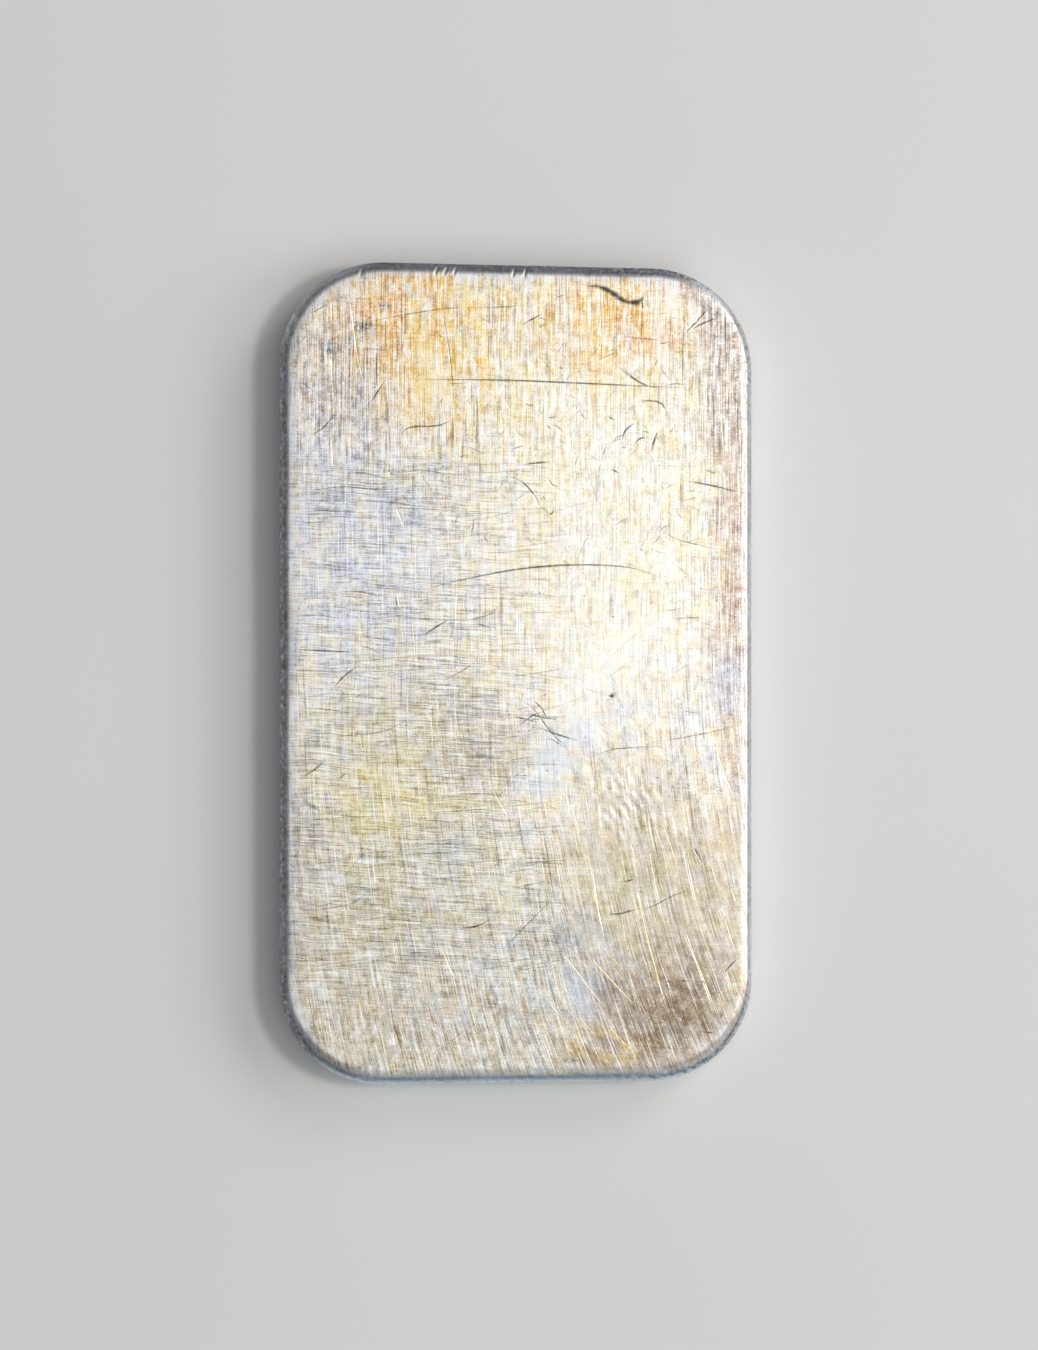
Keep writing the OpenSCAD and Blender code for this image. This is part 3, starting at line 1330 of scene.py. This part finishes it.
@dataclass(frozen=True)
class Weave:
    """A cloudy pattern with so many lumps to a millimetre across the bar and along it.

    Its level picks the slice of the noise that it is cut from, and its ramp draws it out to 0 and 1.
    """

    across: float
    along: float
    level: float
    detail: float = 2.0
    roughness: float = 0.5
    ramp: Ramp = Ramp(0.35, 0.65)

    def cloud(self, x: Wire, y: Wire, output: Key = 0) -> Wire:
        """The pattern as it is, about one half on the whole, as a value or as a colour."""
        place = x.bench.vector(x * self.across, y * self.along, self.level)
        return x.bench.noise(place, self.detail, self.roughness, output)

    def clouds(self, x: Wire, y: Wire) -> tuple[Wire, Wire, Wire]:
        """Three unlike patterns of the kind as they are."""
        return x.bench.split(self.cloud(x, y, "Color"))

    def wire(self, x: Wire, y: Wire) -> Wire:
        """The pattern, from 0 to 1."""
        return self.ramp.of(self.cloud(x, y))

    def wires(self, x: Wire, y: Wire) -> list[Wire]:
        """Three unlike patterns of the kind, each from 0 to 1."""
        return [self.ramp.of(thread) for thread in self.clouds(x, y)]


@dataclass(frozen=True)
class SolidWeave:
    """A cloudy pattern through the whole bar, by its lumps to a millimetre level with it and upwards."""

    level: float
    upwards: float
    detail: float = 3.0
    roughness: float = 0.5

    def cloud(self, x: Wire, y: Wire, z: Wire) -> Wire:
        """The pattern as it is, about one half on the whole."""
        place = x.bench.vector(x * self.level, y * self.level, z * self.upwards)
        return x.bench.noise(place, self.detail, self.roughness)


# Parts of the bar, each by the place across it or along it where the part begins and is in full
HEAD_PART = Ramp(16.0, 30.0)
UPPER_HALF = Ramp(-6.0, 12.0)
LEFT_SIDE = Ramp(-21.0, -24.0)
RIGHT_SIDE = Ramp(21.0, 24.0)
WARM_ACROSS = Ramp(-6.0, 5.0)
WARM_ALONG = Ramp(-6.0, 8.0)
CALM_ACROSS = Ramp(2.0, 10.0)
CALM_ALONG = Ramp(-10.0, -20.0)
HAIRED_ACROSS = Ramp(9.0, -7.0)
HAIRED_BELOW = Ramp(27.0, 18.0)
HAIRED_ABOVE = Ramp(-40.0, -29.0)


@dataclass(frozen=True)
class SideFinish:
    """The sides and the underside: slate-grey silver, bright at the right, with painted shade on the left and
    head sides and a painted bluish reflection and highlight at the foot.

    Ramps of corners read places across and along the bar together. The other values are shares.
    """

    lines: SolidWeave = SolidWeave(0.12, 5.0)
    clouds: SolidWeave = SolidWeave(0.25, 0.5)
    specks: SolidWeave = SolidWeave(2.1, 2.1, roughness=0.6)
    cloud_ramp: Ramp = Ramp(0.35, 0.65)
    line_ramp: Ramp = Ramp(0.45, 0.70)
    pale_ramp: Ramp = Ramp(0.53, 0.64)
    pit_ramp: Ramp = Ramp(0.48, 0.37)
    outer_ramp: Ramp = Ramp(6.5, 5.9)
    wall_ramp: Ramp = Ramp(5.9, 4.6)
    head_edge: Ramp = Ramp(40.0, 43.0)
    foot_edge: Ramp = Ramp(-40.5, -43.2)
    bright_corner: Ramp = Ramp(58.5, 62.0)
    lower_corner: Ramp = Ramp(54.0, 59.0)
    upper_corner: Ramp = Ramp(52.0, 57.0)
    line_share: float = 0.30
    # These four shares set the painted shade of the left and head sides: deeper at the head and low on the
    # rounding, less at the upper left corner
    dull_and_shade: float = 0.40
    head_shade: float = 0.20
    outer_shade: float = 0.35
    corner_less_shade: float = 0.35
    # The next two shares set the painted reflection with shade over the foot's rounding and the painted
    # highlight along its outer edge
    foot_sheen: float = 0.60
    foot_highlight: float = 0.70
    speckled: float = 0.22
    speckled_left: float = 0.20
    speckled_corner: float = 0.32
    wall_calm: float = 0.65

    def colour(self, x: Wire, y: Wire, z: Wire) -> Wire:
        """Paints the sides, painted shade and highlights included.

        Args:
            x: Place across the bar.
            y: Place along the bar.
            z: Height.

        Returns:
            The colour.
        """
        bench = x.bench
        outer = self.outer_ramp.of(z)
        foot = self.foot_edge.of(y)
        # How much painted shade the left and head sides take
        dull_and_shade = self.head_edge.of(y) * self.head_shade + outer * self.outer_shade + self.dull_and_shade
        dull_and_shade = dull_and_shade - self.bright_corner.of(y - x) * self.corner_less_shade
        corners = self.lower_corner.of(x - y) + self.upper_corner.of(x + y)
        rough = LEFT_SIDE.of(x) * self.speckled_left + self.speckled + corners * self.speckled_corner
        rough = rough * (1.0 - self.wall_ramp.of(z) * self.wall_calm)
        specks = self.specks.cloud(x, y, z)
        # The second layer is painted shade on the left and head sides; the third and fourth are a painted
        # bluish reflection with shade and a painted highlight along the foot
        layers = (
            (self.line_ramp.of(self.lines.cloud(x, y, z)) * self.line_share, SLATE, Mode.MULTIPLY),
            (bench.attribute("margin") * dull_and_shade, SLATE, Mode.MULTIPLY),
            (foot * (1.0 - outer) * self.foot_sheen, FOOT_SHEEN, Mode.MULTIPLY),
            (foot * outer * self.foot_highlight, FOOT_HIGHLIGHT, Mode.MIX),
            (self.pale_ramp.of(specks) * rough, WHITE, Mode.MIX),
            (self.pit_ramp.of(specks) * rough, PIT, Mode.MULTIPLY),
        )
        colour = bench.blend(self.cloud_ramp.of(self.clouds.cloud(x, y, z)), COOL_SIDE, GREY_SIDE)
        for share, shade, mode in layers:
            colour = bench.blend(share, colour, shade, mode)
        return colour


@dataclass(frozen=True)
class FaceTones:
    """How strongly each pattern shows in the colour of the upper face, most of them as shares."""

    blush: float = 0.45
    straw: float = 0.45
    warm_straw: float = 0.12
    lavender: float = 0.55
    warm_lavender: float = 0.38
    stain_ragged: float = 0.9
    stain_ramp: Ramp = Ramp(1.15, 0.15)
    upper_contrast: float = 0.20
    grime: float = 0.45
    dark_grain: float = 0.95
    calm_dark: float = 0.35
    dark_ramp: Ramp = Ramp(0.51, 0.39)
    dark_lines: float = 0.50
    head_lines: float = 0.25
    dark_hairs: float = 0.75
    golden_lines: float = 0.30
    bright_lines: float = 0.70
    light_grain: float = 0.70
    head_light: float = 0.18
    calm_light: float = 0.25
    light_ramp: Ramp = Ramp(0.51, 0.60)
    bright_hairs: float = 0.40
    margin_ragged: float = 1.2
    margin_light: float = 3.0
    margin_level: float = 1.60
    pale_margin: float = 0.5
    pale_ramp: Ramp = Ramp(0.2, 0.9)
    white_margin: float = 0.7
    white_ramp: Ramp = Ramp(0.70, 1.1)


@dataclass(frozen=True)
class Grain:
    """Patterns of the face's finish, as wires from 0 to 1.

    Veins are the clouds and streaks that tarnish follows. Lines are the thin marks of rolling, bright, dark
    and golden ones, hairs the dark and bright hairlines across the left half, and light the fine unevenness
    of the whole face. Ragged is the unevenness of the stains' edges, from -0.5 to 0.5.
    """

    veins: list[Wire]
    lines: list[Wire]
    hairs: list[Wire]
    light: Wire
    ragged: Wire


@dataclass(frozen=True)
class TarnishedSilver:
    """Worn silver: thin rolling lines along the bar, cross hairlines, and tarnish in soft patches."""

    name: str = "tarnished_silver"
    side: SideFinish = SideFinish()
    tones: FaceTones = FaceTones()
    rough: float = 0.36
    rough_spread: float = 0.12
    cut_rough: float = 0.15
    rim_rough: float = 0.04
    right_polish: float = 0.18
    bump_strength: float = 0.30
    bump_height: float = 0.02
    mark_relief: float = 0.3
    breaks: Weave = Weave(1.3, 1.3, 59.0, ramp=Ramp(0.36, 0.54))
    break_depth: float = 0.35
    lean: float = 0.0034
    fan: float = 0.00006
    lean_from: float = 2.0
    drift: Weave = Weave(0.12, 0.09, 3.0, detail=1.0)
    drift_reach: float = 0.5
    clouds: Weave = Weave(0.50, 0.40, 7.0, detail=5.0, roughness=0.66)
    streaks: Weave = Weave(1.9, 0.14, 13.0, detail=3.0, roughness=0.6)
    cloud_share: float = 0.78
    head_streaks: float = 0.24
    vein_ramp: Ramp = Ramp(0.42, 0.60)
    ragged: Weave = Weave(0.35, 0.22, 17.0, detail=4.0, roughness=0.62)
    lines: Weave = Weave(5.0, 0.11, 1.0, roughness=0.6, ramp=Ramp(0.57, 0.72))
    hairs: Weave = Weave(0.16, 5.4, 23.0, roughness=0.6, ramp=Ramp(0.54, 0.70))
    hair_bands: Weave = Weave(0.16, 0.40, 53.0, ramp=Ramp(0.30, 0.60))
    hair_spread: float = 0.25
    hair_lean: float = 0.05
    hair_sway: Weave = Weave(0.16, 0.30, 31.0)
    hair_sway_reach: float = 0.9
    fine_lines: Weave = Weave(7.0, 0.22, 71.0)
    fine_hairs: Weave = Weave(0.22, 7.0, 73.0)
    grit: Weave = Weave(4.4, 4.4, 41.0)
    mottle: Weave = Weave(1.3, 1.0, 79.0)
    line_share: float = 0.42
    left_line_loss: float = 0.18
    hair_share: float = 0.10
    left_hair_gain: float = 0.40
    grit_share: float = 0.22
    mottle_share: float = 0.26

    def material(self) -> bpy.types.Material:
        """Builds the finish.

        Returns:
            The material.
        """
        material, bench = start_finish(self.name)
        spot = bench.wire("ShaderNodeTexCoord", output="Object")
        x, y, z = (axis * (1 / MM) for axis in bench.split(spot))
        upper = bench.attribute("upper")
        grain = self.grain(x, y)
        colour = bench.blend(upper, self.side.colour(x, y, z), self.face_colour(x, y, grain))
        # Scratches and nicks: dark tarnish in the grooves with painted shade on their walls, and a painted
        # highlight where they gleam
        broken = 1.0 - self.breaks.wire(x, y)
        cut = bench.math("MAXIMUM", bench.attribute("cut") - broken * self.break_depth, 0.0)
        colour = bench.blend(cut, colour, SCRATCH, Mode.MULTIPLY)
        glint = bench.blend(upper, WHITE, GLEAM)
        colour = bench.blend(bench.attribute("gleam"), colour, glint)
        bright, dark, _ = grain.lines
        rim = self.rim_rough - RIGHT_SIDE.of(x) * self.right_polish
        rough = self.rough + self.rough_spread * (1.0 - bright) + cut * self.cut_rough + rim * (1.0 - upper)
        relief = (bright - dark - grain.hairs[0]) * self.mark_relief + grain.light
        bump = {"Strength": self.bump_strength, "Distance": self.bump_height * MM, "Height": relief}
        normal = bench.wire("ShaderNodeBump", sockets=bump)
        bench.surface({"Base Color": colour, "Metallic": 1.0, "Roughness": rough, "Normal": normal})
        return material

    def grain(self, x: Wire, y: Wire) -> Grain:
        """The patterns of the face: upright at the head, and leaning towards the foot.

        Args:
            x: Place across the bar.
            y: Place along the bar.

        Returns:
            The patterns.
        """
        sag = x.bench.math("MAXIMUM", self.lean_from - y, 0.0)
        drift = self.drift.cloud(x, y) * self.drift_reach
        across = x - sag * sag * (x * self.fan + self.lean) + drift
        slope = y + x * self.hair_lean + self.hair_sway.cloud(x, y) * self.hair_sway_reach
        left = HAIRED_ACROSS.of(x) * HAIRED_BELOW.of(y) * HAIRED_ABOVE.of(y)
        share = self.cloud_share - HEAD_PART.of(y) * self.head_streaks
        veins = [
            self.vein_ramp.of(cloud * share + streak * (1.0 - share))
            for cloud, streak in zip(self.clouds.clouds(across, y), self.streaks.clouds(across, y))
        ]
        spread = self.hair_bands.wire(x, y) * (left * (1.0 - self.hair_spread) + self.hair_spread)
        return Grain(
            veins=veins,
            lines=self.lines.wires(across, y),
            hairs=[hair * spread for hair in self.hairs.wires(x, slope)[:2]],
            light=self.light(x, y, across, slope, left),
            ragged=self.ragged.cloud(x, y) - MIDDLE,
        )

    def light(self, x: Wire, y: Wire, across: Wire, slope: Wire, left: Wire) -> Wire:
        """The fine unevenness of the face: short lines along the bar and across it, grit and mottling.

        Args:
            x: Place across the bar.
            y: Place along the bar.
            across: Place across the rolling lines.
            slope: Place across the hairlines.
            left: How far a place belongs to the part with cross hairlines.

        Returns:
            The unevenness, about one half on the whole.
        """
        lines = self.fine_lines.cloud(across, y) * (self.line_share - left * self.left_line_loss)
        hairs = self.fine_hairs.cloud(x, slope) * (left * self.left_hair_gain + self.hair_share)
        grit = self.grit.cloud(x, y) * self.grit_share
        mottle = self.mottle.cloud(x, y) * self.mottle_share
        shares = self.line_share + self.hair_share + self.grit_share + self.mottle_share
        total = left * (self.left_hair_gain - self.left_line_loss) + shares
        return (lines + hairs + grit + mottle) / total

    def face_colour(self, x: Wire, y: Wire, grain: Grain) -> Wire:
        """Colour of the upper face: bare metal, the stains on it, and the grain through both.

        Args:
            x: Place across the bar.
            y: Place along the bar.
            grain: The patterns of the face.

        Returns:
            The colour.
        """
        bench = x.bench
        tones = self.tones
        warm = WARM_ACROSS.of(x) * WARM_ALONG.of(y)
        straw = warm * tones.warm_straw + tones.straw
        lavender = tones.lavender - warm * tones.warm_lavender
        strengths = (tones.blush, straw, lavender)
        colour = BARE
        for vein, strength, shade in zip(grain.veins, strengths, (BLUSH, STRAW, LAVENDER)):
            colour = bench.blend(vein * strength, colour, shade)
        colour = self.stained(colour, STAINS, x, y, grain)
        bright, dark, golden = grain.lines
        head = HEAD_PART.of(y)
        calm = CALM_ACROSS.of(x) * CALM_ALONG.of(y)
        light = grain.light + (grain.light - MIDDLE) * UPPER_HALF.of(y) * tones.upper_contrast
        tarnish = bench.blend(1.0, colour, colour, Mode.MULTIPLY)
        deep = bench.blend(tones.grime, tarnish, GRIME, Mode.MULTIPLY)
        lit = head * tones.head_light + tones.light_grain - calm * tones.calm_light
        layers = (
            (tones.dark_ramp.of(light) * (tones.dark_grain - calm * tones.calm_dark), deep, Mode.MIX),
            (dark * (head * tones.head_lines + tones.dark_lines), LINE_GREY, Mode.MULTIPLY),
            (grain.hairs[0] * tones.dark_hairs, HAIR_GREY, Mode.MULTIPLY),
            (golden * tones.golden_lines, GLEAM, Mode.MIX),
            (bright * tones.bright_lines, WHITE, Mode.MIX),
            (tones.light_ramp.of(light) * lit, WHITE, Mode.MIX),
            (grain.hairs[1] * tones.bright_hairs, WHITE, Mode.MIX),
        )
        for share, shade, mode in layers:
            colour = bench.blend(share, colour, shade, mode)
        colour = self.stained(colour, POLISH, x, y, grain)
        worn = bench.attribute("margin") + grain.ragged * tones.margin_ragged
        worn = worn + grain.light * tones.margin_light - tones.margin_level
        colour = bench.blend(tones.pale_ramp.of(worn) * tones.pale_margin, colour, MARGIN)
        return bench.blend(tones.white_ramp.of(worn) * tones.white_margin, colour, WHITE)

    def stained(self, colour: Wire, stains: tuple[Stain, ...], x: Wire, y: Wire, grain: Grain) -> Wire:
        """Lays stains over a colour, one after the other.

        Each has a ragged edge, and is broken up by the pattern that it follows.

        Args:
            colour: The colour below.
            stains: The stains, the lowest first.
            x: Place across the bar.
            y: Place along the bar.
            grain: The patterns of the face.

        Returns:
            The colour with the stains on it.
        """
        for stain in stains:
            turn = math.radians(stain.turn)
            right, up = x - stain.centre[0], y - stain.centre[1]
            across = (right * math.cos(turn) + up * math.sin(turn)) / stain.reach[0]
            along = (up * math.cos(turn) - right * math.sin(turn)) / stain.reach[1]
            gap = x.bench.math("SQRT", across * across + along * along)
            gap = gap + grain.ragged * self.tones.stain_ragged
            broken = grain.veins[stain.vein.value] * stain.grain + (1 - stain.grain)
            share = self.tones.stain_ramp.of(gap) * broken * stain.strength
            colour = x.bench.blend(share, colour, stain.colour)
        return colour


@dataclass(frozen=True)
class PaleFloor:
    """A matt, pale floor with faint clouding, whose lumps are counted to a metre."""

    name: str = "pale_floor"
    pale: Colour = tint(234, 232, 228)
    grey: Colour = tint(226, 224, 220)
    clouds: Weave = Weave(9.0, 9.0, 0.0, detail=4.0)
    rough: float = 0.9
    specular: float = 0.1

    def material(self) -> bpy.types.Material:
        """Builds the finish.

        Returns:
            The material.
        """
        material, bench = start_finish(self.name)
        x, y, _ = bench.split(bench.wire("ShaderNodeTexCoord", output="Object"))
        colour = bench.blend(self.clouds.cloud(x, y), self.pale, self.grey)
        bench.surface({"Base Color": colour, "Roughness": self.rough, "Specular IOR Level": self.specular})
        return material


@dataclass
class IngotBar:
    """The bar: a finely cut mesh with the marks of the photographed face, standing in for the CAD solid."""

    shape: BarShape
    sheet: PhotoSheet
    name: str = "worn_ingot"
    dimples: Dimples = Dimples()
    stroke_pitch: float = 0.5
    face_starts: float = 0.75
    face_full: float = 1.20
    crisp_starts: float = 0.24
    crisp_full: float = 0.45
    margin: float = 1.3
    edge_middle: float = 0.80
    edge_reach: float = 0.15
    upper_seed: int = 43
    lower_seed: int = 47
    lower_pitch: float = 1.5
    nick_band: float = 0.4
    nick_fade: float = 1.3
    nick_dark: float = 0.7
    nick_push: float = 0.5
    lip_place: float = 0.8
    lip_sharpness: float = 2.0

    def build(self, finish: bpy.types.Material) -> bpy.types.Object:
        """Makes the bar and ties it to the frame.

        Args:
            finish: The bar's material.

        Returns:
            The finished piece.
        """
        mesh = WearTree().wear(self.carved_mesh(), finish)
        mesh.name = self.name
        piece = bpy.data.objects.new(self.name, mesh)
        bpy.context.scene.collection.objects.link(piece)
        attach(piece, BODY)
        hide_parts(NODE)
        LOG.info("%s: %d faces", piece.name, len(mesh.polygons))
        return piece

    def photographed(self) -> Iterator[Stroke]:
        """Draws the marks read off the photograph.

        Yields:
            Each mark as a stroke on the upper face.
        """
        for mark in MARKS:
            points = np.array([self.sheet.place(self.shape, pixel) for pixel in mark.pixels])
            yield ScratchStrewer.stroke(smooth_path(points, self.stroke_pitch), mark.cut.value, 1.0)

    def carved_mesh(self) -> bpy.types.Mesh:
        """Builds the bar before its wear, in metres, with the values that its finish reads at its points.

        Returns:
            The mesh.
        """
        stations = self.shape.stations()
        sections = np.array([self.shape.section(station) for station in stations])
        outward = np.array([station.outward() for station in stations])
        wear = np.array([station.wear() for station in stations])
        pile = self.rim(sections, outward, wear)
        strewer = ScratchStrewer()
        upper = [stroke for scatter in UPPER_SCATTERS for stroke in strewer.strew(scatter)]
        lower = [stroke for scatter in LOWER_SCATTERS for stroke in strewer.strew(scatter)]
        upper.extend(self.photographed())
        ripples = self.dimples.points(self.dimple_centre())
        face = CarvedFace(sections[:, -1, :2], outward, wear, upper, self.upper_seed, ripples)
        rim_numbers = np.arange(len(pile.points)).reshape(sections.shape[:2])
        self.add_face(pile, face, rim_numbers[:, -1], True)
        none = np.empty((0, 2))
        face = CarvedFace(sections[:, 0, :2], outward, wear, lower, self.lower_seed, none, self.lower_pitch)
        self.add_face(pile, face, rim_numbers[:, 0], False)
        return pile.mesh(self.name)

    def rim(self, sections: np.ndarray, outward: np.ndarray, wear: np.ndarray) -> "MeshPile":
        """Gathers the bar's side all round, from the rim of the lower face to that of the upper one.

        Args:
            sections: The side, station by station, which takes its nicks here.
            outward: The way each station faces.
            wear: How worn each station is.

        Returns:
            The side's points and faces, with the values that the finish reads.
        """
        dark, bright = self.nick_head(sections)
        count, rows = sections.shape[:2]
        pile = MeshPile(sections.reshape(-1, 3))
        pile.quads(np.arange(count * rows).reshape(count, rows))
        widest = sections[:, self.shape.lower_rows, None, :2]
        gaps = np.einsum("kmj,kj->km", widest - sections[:, :, :2], outward)
        crisp = np.clip(outward[:, :1], 0, 1)
        starts = self.face_starts - self.crisp_starts * crisp
        full = self.face_full - self.crisp_full * crisp
        face_share = np.clip((gaps - starts) / (full - starts), 0, 1)
        face_share *= sections[:, :, 2] > self.shape.thickness / 2
        edge = np.exp(-(((np.linspace(0, 1, rows) - self.edge_middle) / self.edge_reach) ** 2))
        pile.values = {
            "upper": list(face_share.ravel()),
            "edge": list(np.tile(edge, count)),
            "cut": list(dark.ravel()),
            "gleam": list(bright.ravel()),
            # On the side, margin carries the edge's wear as the share of painted shade that the finish lays
            # on the left and head sides
            "margin": list(np.repeat(wear, rows)),
        }
        return pile

    def dimple_centre(self) -> np.ndarray:
        """The middle of the puckered patch, on the face."""
        return np.array(self.sheet.place(self.shape, self.dimples.pixel))

    def nick_head(self, sections: np.ndarray) -> tuple[np.ndarray, np.ndarray]:
        """Cuts the photographed nicks into the upper edge at the head.

        Args:
            sections: The bar's side, station by station, which is changed in place.

        Returns:
            How dark the painted shade in the nicks and how bright the painted highlight on their lips make
            each point of the side.
        """
        dark, bright = np.zeros((2, *sections.shape[:2]))
        for nick in HEAD_NICKS:
            edge, face = (np.array(self.sheet.place(self.shape, pixel)) for pixel in (nick.edge, nick.face))
            side = face - edge
            offsets = sections[:, :, :2] - edge
            place = offsets @ side / (side @ side)
            aside = offsets @ np.array([-side[1], side[0]]) / np.linalg.norm(side)
            fade = np.clip(self.nick_fade * (1.0 - np.abs(place - MIDDLE)), 0, 1)
            fade[sections[:, :, 2] < self.shape.thickness - self.nick_band] = 0
            deep = np.clip(1 - np.abs(aside) / (nick.width / 2), 0, 1) * fade
            dark = np.maximum(dark, deep * self.nick_dark)
            lip = np.clip(1 - np.abs(aside / nick.width + self.lip_place) * self.lip_sharpness, 0, 1)
            bright = np.maximum(bright, lip * fade)
            sections[:, :, 2] -= deep * nick.depth
            sections[:, :, 1] -= deep * nick.depth * self.nick_push
        return dark, bright

    def add_face(self, builder: "MeshPile", face: CarvedFace, rim_numbers: np.ndarray, up: bool) -> None:
        """Cuts one face and joins it to the rim.

        Args:
            builder: The bar's points and faces so far.
            face: The face to cut.
            rim_numbers: Numbers of the rim's points.
            up: Whether this is the upper face.
        """
        points, triangles, stands_for = face.cut()
        depth, dark, bright = face.tones(points)
        inset = np.clip(face.inset(points), 0, None)
        level = self.shape.thickness if up else 0.0
        wear = face.wear[face.nearest(points)]
        roll = np.clip(1 - inset / self.shape.shoulder_reach, 0, 1) ** 2 * up
        roll *= wear * self.shape.shoulder(*points.T)
        margins = np.clip(1 - inset / self.margin, 0, 1) * wear
        down = -1.0 if up else 1.0
        dimples = self.dimples.depths(points, self.dimple_centre()) * up
        heights = level + down * (depth + roll + dimples)
        numbers = []
        rows = zip(points, heights, stands_for, dark, bright, margins)
        for point, height, rim, shade, shine, margin in rows:
            if rim:
                numbers.append(int(rim_numbers[rim[0]]))
                continue
            values = {"upper": float(up), "edge": 0.0, "cut": shade, "gleam": shine, "margin": margin}
            numbers.append(builder.point((point[0], point[1], height), values))
        carved = np.maximum(dark, bright) > 0
        for triangle in triangles:
            corners = [numbers[corner] for corner in triangle]
            builder.face(corners if up else corners[::-1], smooth=not carved[list(triangle)].any())


class MeshPile:
    """Points and faces gathered for one mesh, in millimetres, with values at the points."""

    def __init__(self, points: np.ndarray) -> None:
        """Starts with some points.

        Args:
            points: The points, one row each.
        """
        self.points = [tuple(point) for point in points]
        self.faces: list[list[int]] = []
        self.smooth: list[bool] = []
        self.values: dict[str, list[float]] = {}

    def point(self, place: tuple[float, float, float], values: dict[str, float]) -> int:
        """Adds a point.

        Args:
            place: Where it is.
            values: Its values, by their names.

        Returns:
            Its number.
        """
        self.points.append(place)
        for name, value in values.items():
            self.values[name].append(value)
        return len(self.points) - 1

    def face(self, corners: list[int], smooth: bool = True) -> None:
        """Adds a face."""
        self.faces.append(corners)
        self.smooth.append(smooth)

    def quads(self, numbers: np.ndarray) -> None:
        """Adds a closed band of four-sided faces.

        Args:
            numbers: Numbers of the points, one row to each station.
        """
        ahead = np.roll(numbers, -1, axis=0)
        for here, there in zip(numbers, ahead):
            for low, high in zip(range(len(here) - 1), range(1, len(here))):
                self.face([int(here[low]), int(there[low]), int(there[high]), int(here[high])])

    def mesh(self, name: str) -> bpy.types.Mesh:
        """Turns the pile into a mesh, in metres.

        Args:
            name: The mesh's name.

        Returns:
            The mesh.
        """
        mesh = bpy.data.meshes.new(name)
        mesh.from_pydata((np.array(self.points) * MM).tolist(), [], self.faces)
        mesh.polygons.foreach_set("use_smooth", self.smooth)
        for label, values in self.values.items():
            mesh.attributes.new(label, "FLOAT", "POINT").data.foreach_set("value", values)
        mesh.update()
        return mesh


@dataclass(frozen=True)
class Lamp:
    """A soft studio lamp, placed by its direction and distance from the bar, in degrees and metres."""

    name: str
    bearing: float
    rise: float
    distance: float
    size: float
    power: float
    colour: tuple[float, float, float] = (1.0, 1.0, 1.0)

    def build(self) -> bpy.types.Object:
        """Hangs the lamp, turned to the bar.

        Returns:
            The lamp.
        """
        data = bpy.data.lights.new(self.name, "AREA")
        data.shape = "DISK"
        data.size = self.size
        data.energy = self.power
        data.color = self.colour
        lamp = bpy.data.objects.new(self.name, data)
        bearing, rise = math.radians(self.bearing), math.radians(self.rise)
        way = Vector((math.cos(bearing) * math.cos(rise), math.sin(bearing) * math.cos(rise), math.sin(rise)))
        lamp.location = way * self.distance
        lamp.rotation_euler = way.to_track_quat("Z", "Y").to_euler()
        bpy.context.scene.collection.objects.link(lamp)
        return lamp


LAMPS = (
    Lamp("key", bearing=6.0, rise=62.0, distance=1.20, size=0.20, power=2.95),
    Lamp("overhead", bearing=-30.0, rise=76.0, distance=0.90, size=1.10, power=2.92),
    Lamp("front", bearing=-90.0, rise=12.0, distance=1.00, size=0.50, power=0.5, colour=(0.78, 0.92, 1.0)),
    Lamp("right", bearing=-4.0, rise=31.0, distance=1.00, size=0.50, power=2.2),
    Lamp("corner", bearing=40.0, rise=34.0, distance=1.00, size=0.50, power=2.4),
)


@dataclass(frozen=True)
class Studio:
    """The floor, the lamps, the dim room round them, and the camera straight above the bar."""

    bar: BarShape
    sheet: PhotoSheet
    camera_height: float = 0.62
    sensor: float = 36.0
    outline_height: float = 5.8
    floor_side: float = 6.0
    room: tuple[float, float, float, float] = (0.12, 0.125, 0.14, 1.0)

    def build(self) -> None:
        """Sets up everything round the bar.

        The floor comes first, then the lamps in order, the room's light and the camera.
        """
        self.lay_floor()
        for lamp in LAMPS:
            lamp.build()
        self.dim_room()
        self.aim_camera()

    def lay_floor(self) -> None:
        """Lays the floor under the bar.

        It is part of the stage, and no piece of the object.
        """
        half = self.floor_side / 2
        mesh = flat_sheet("floor", (-half, -half), (half, half))
        mesh.materials.append(PaleFloor().material())
        floor = bpy.data.objects.new("floor", mesh)
        bpy.context.scene.collection.objects.link(floor)

    def dim_room(self) -> None:
        """Fills the room with a little even light.

        Colours go to the picture as they are, with no film look.
        """
        world = bpy.data.worlds.new("room")
        world.use_nodes = True
        world.node_tree.nodes["Background"].inputs["Color"].default_value = self.room
        bpy.context.scene.world = world
        bpy.context.scene.view_settings.view_transform = "Standard"

    def aim_camera(self) -> None:
        """Hangs the camera over the middle of the photograph, looking straight down.

        Its lens makes the bar's outline as large in the picture as it is in the photograph.
        """
        scale = self.sheet.scale(self.bar)
        tall = self.sheet.pixels[1] * scale
        middle = self.sheet.place(self.bar, (self.sheet.pixels[0] / 2, self.sheet.pixels[1] / 2))
        data = bpy.data.cameras.new("camera")
        data.sensor_fit = "VERTICAL"
        data.sensor_height = self.sensor
        data.lens = self.sensor * (self.camera_height / MM - self.outline_height) / tall
        camera = bpy.data.objects.new("camera", data)
        camera.location = (middle[0] * MM, middle[1] * MM, self.camera_height)
        bpy.context.scene.collection.objects.link(camera)
        bpy.context.scene.camera = camera


def main() -> None:
    """Builds the bar and its studio in order.

    Each is reported through the log.
    """
    logging.basicConfig(level=logging.INFO, format="%(message)s")
    bar = BarShape.from_frame()
    sheet = PhotoSheet()
    IngotBar(bar, sheet).build(TarnishedSilver().material())
    Studio(bar, sheet).build()
    LOG.info("studio: %d lamps", len(LAMPS))


if __name__ == "__main__":
    main()
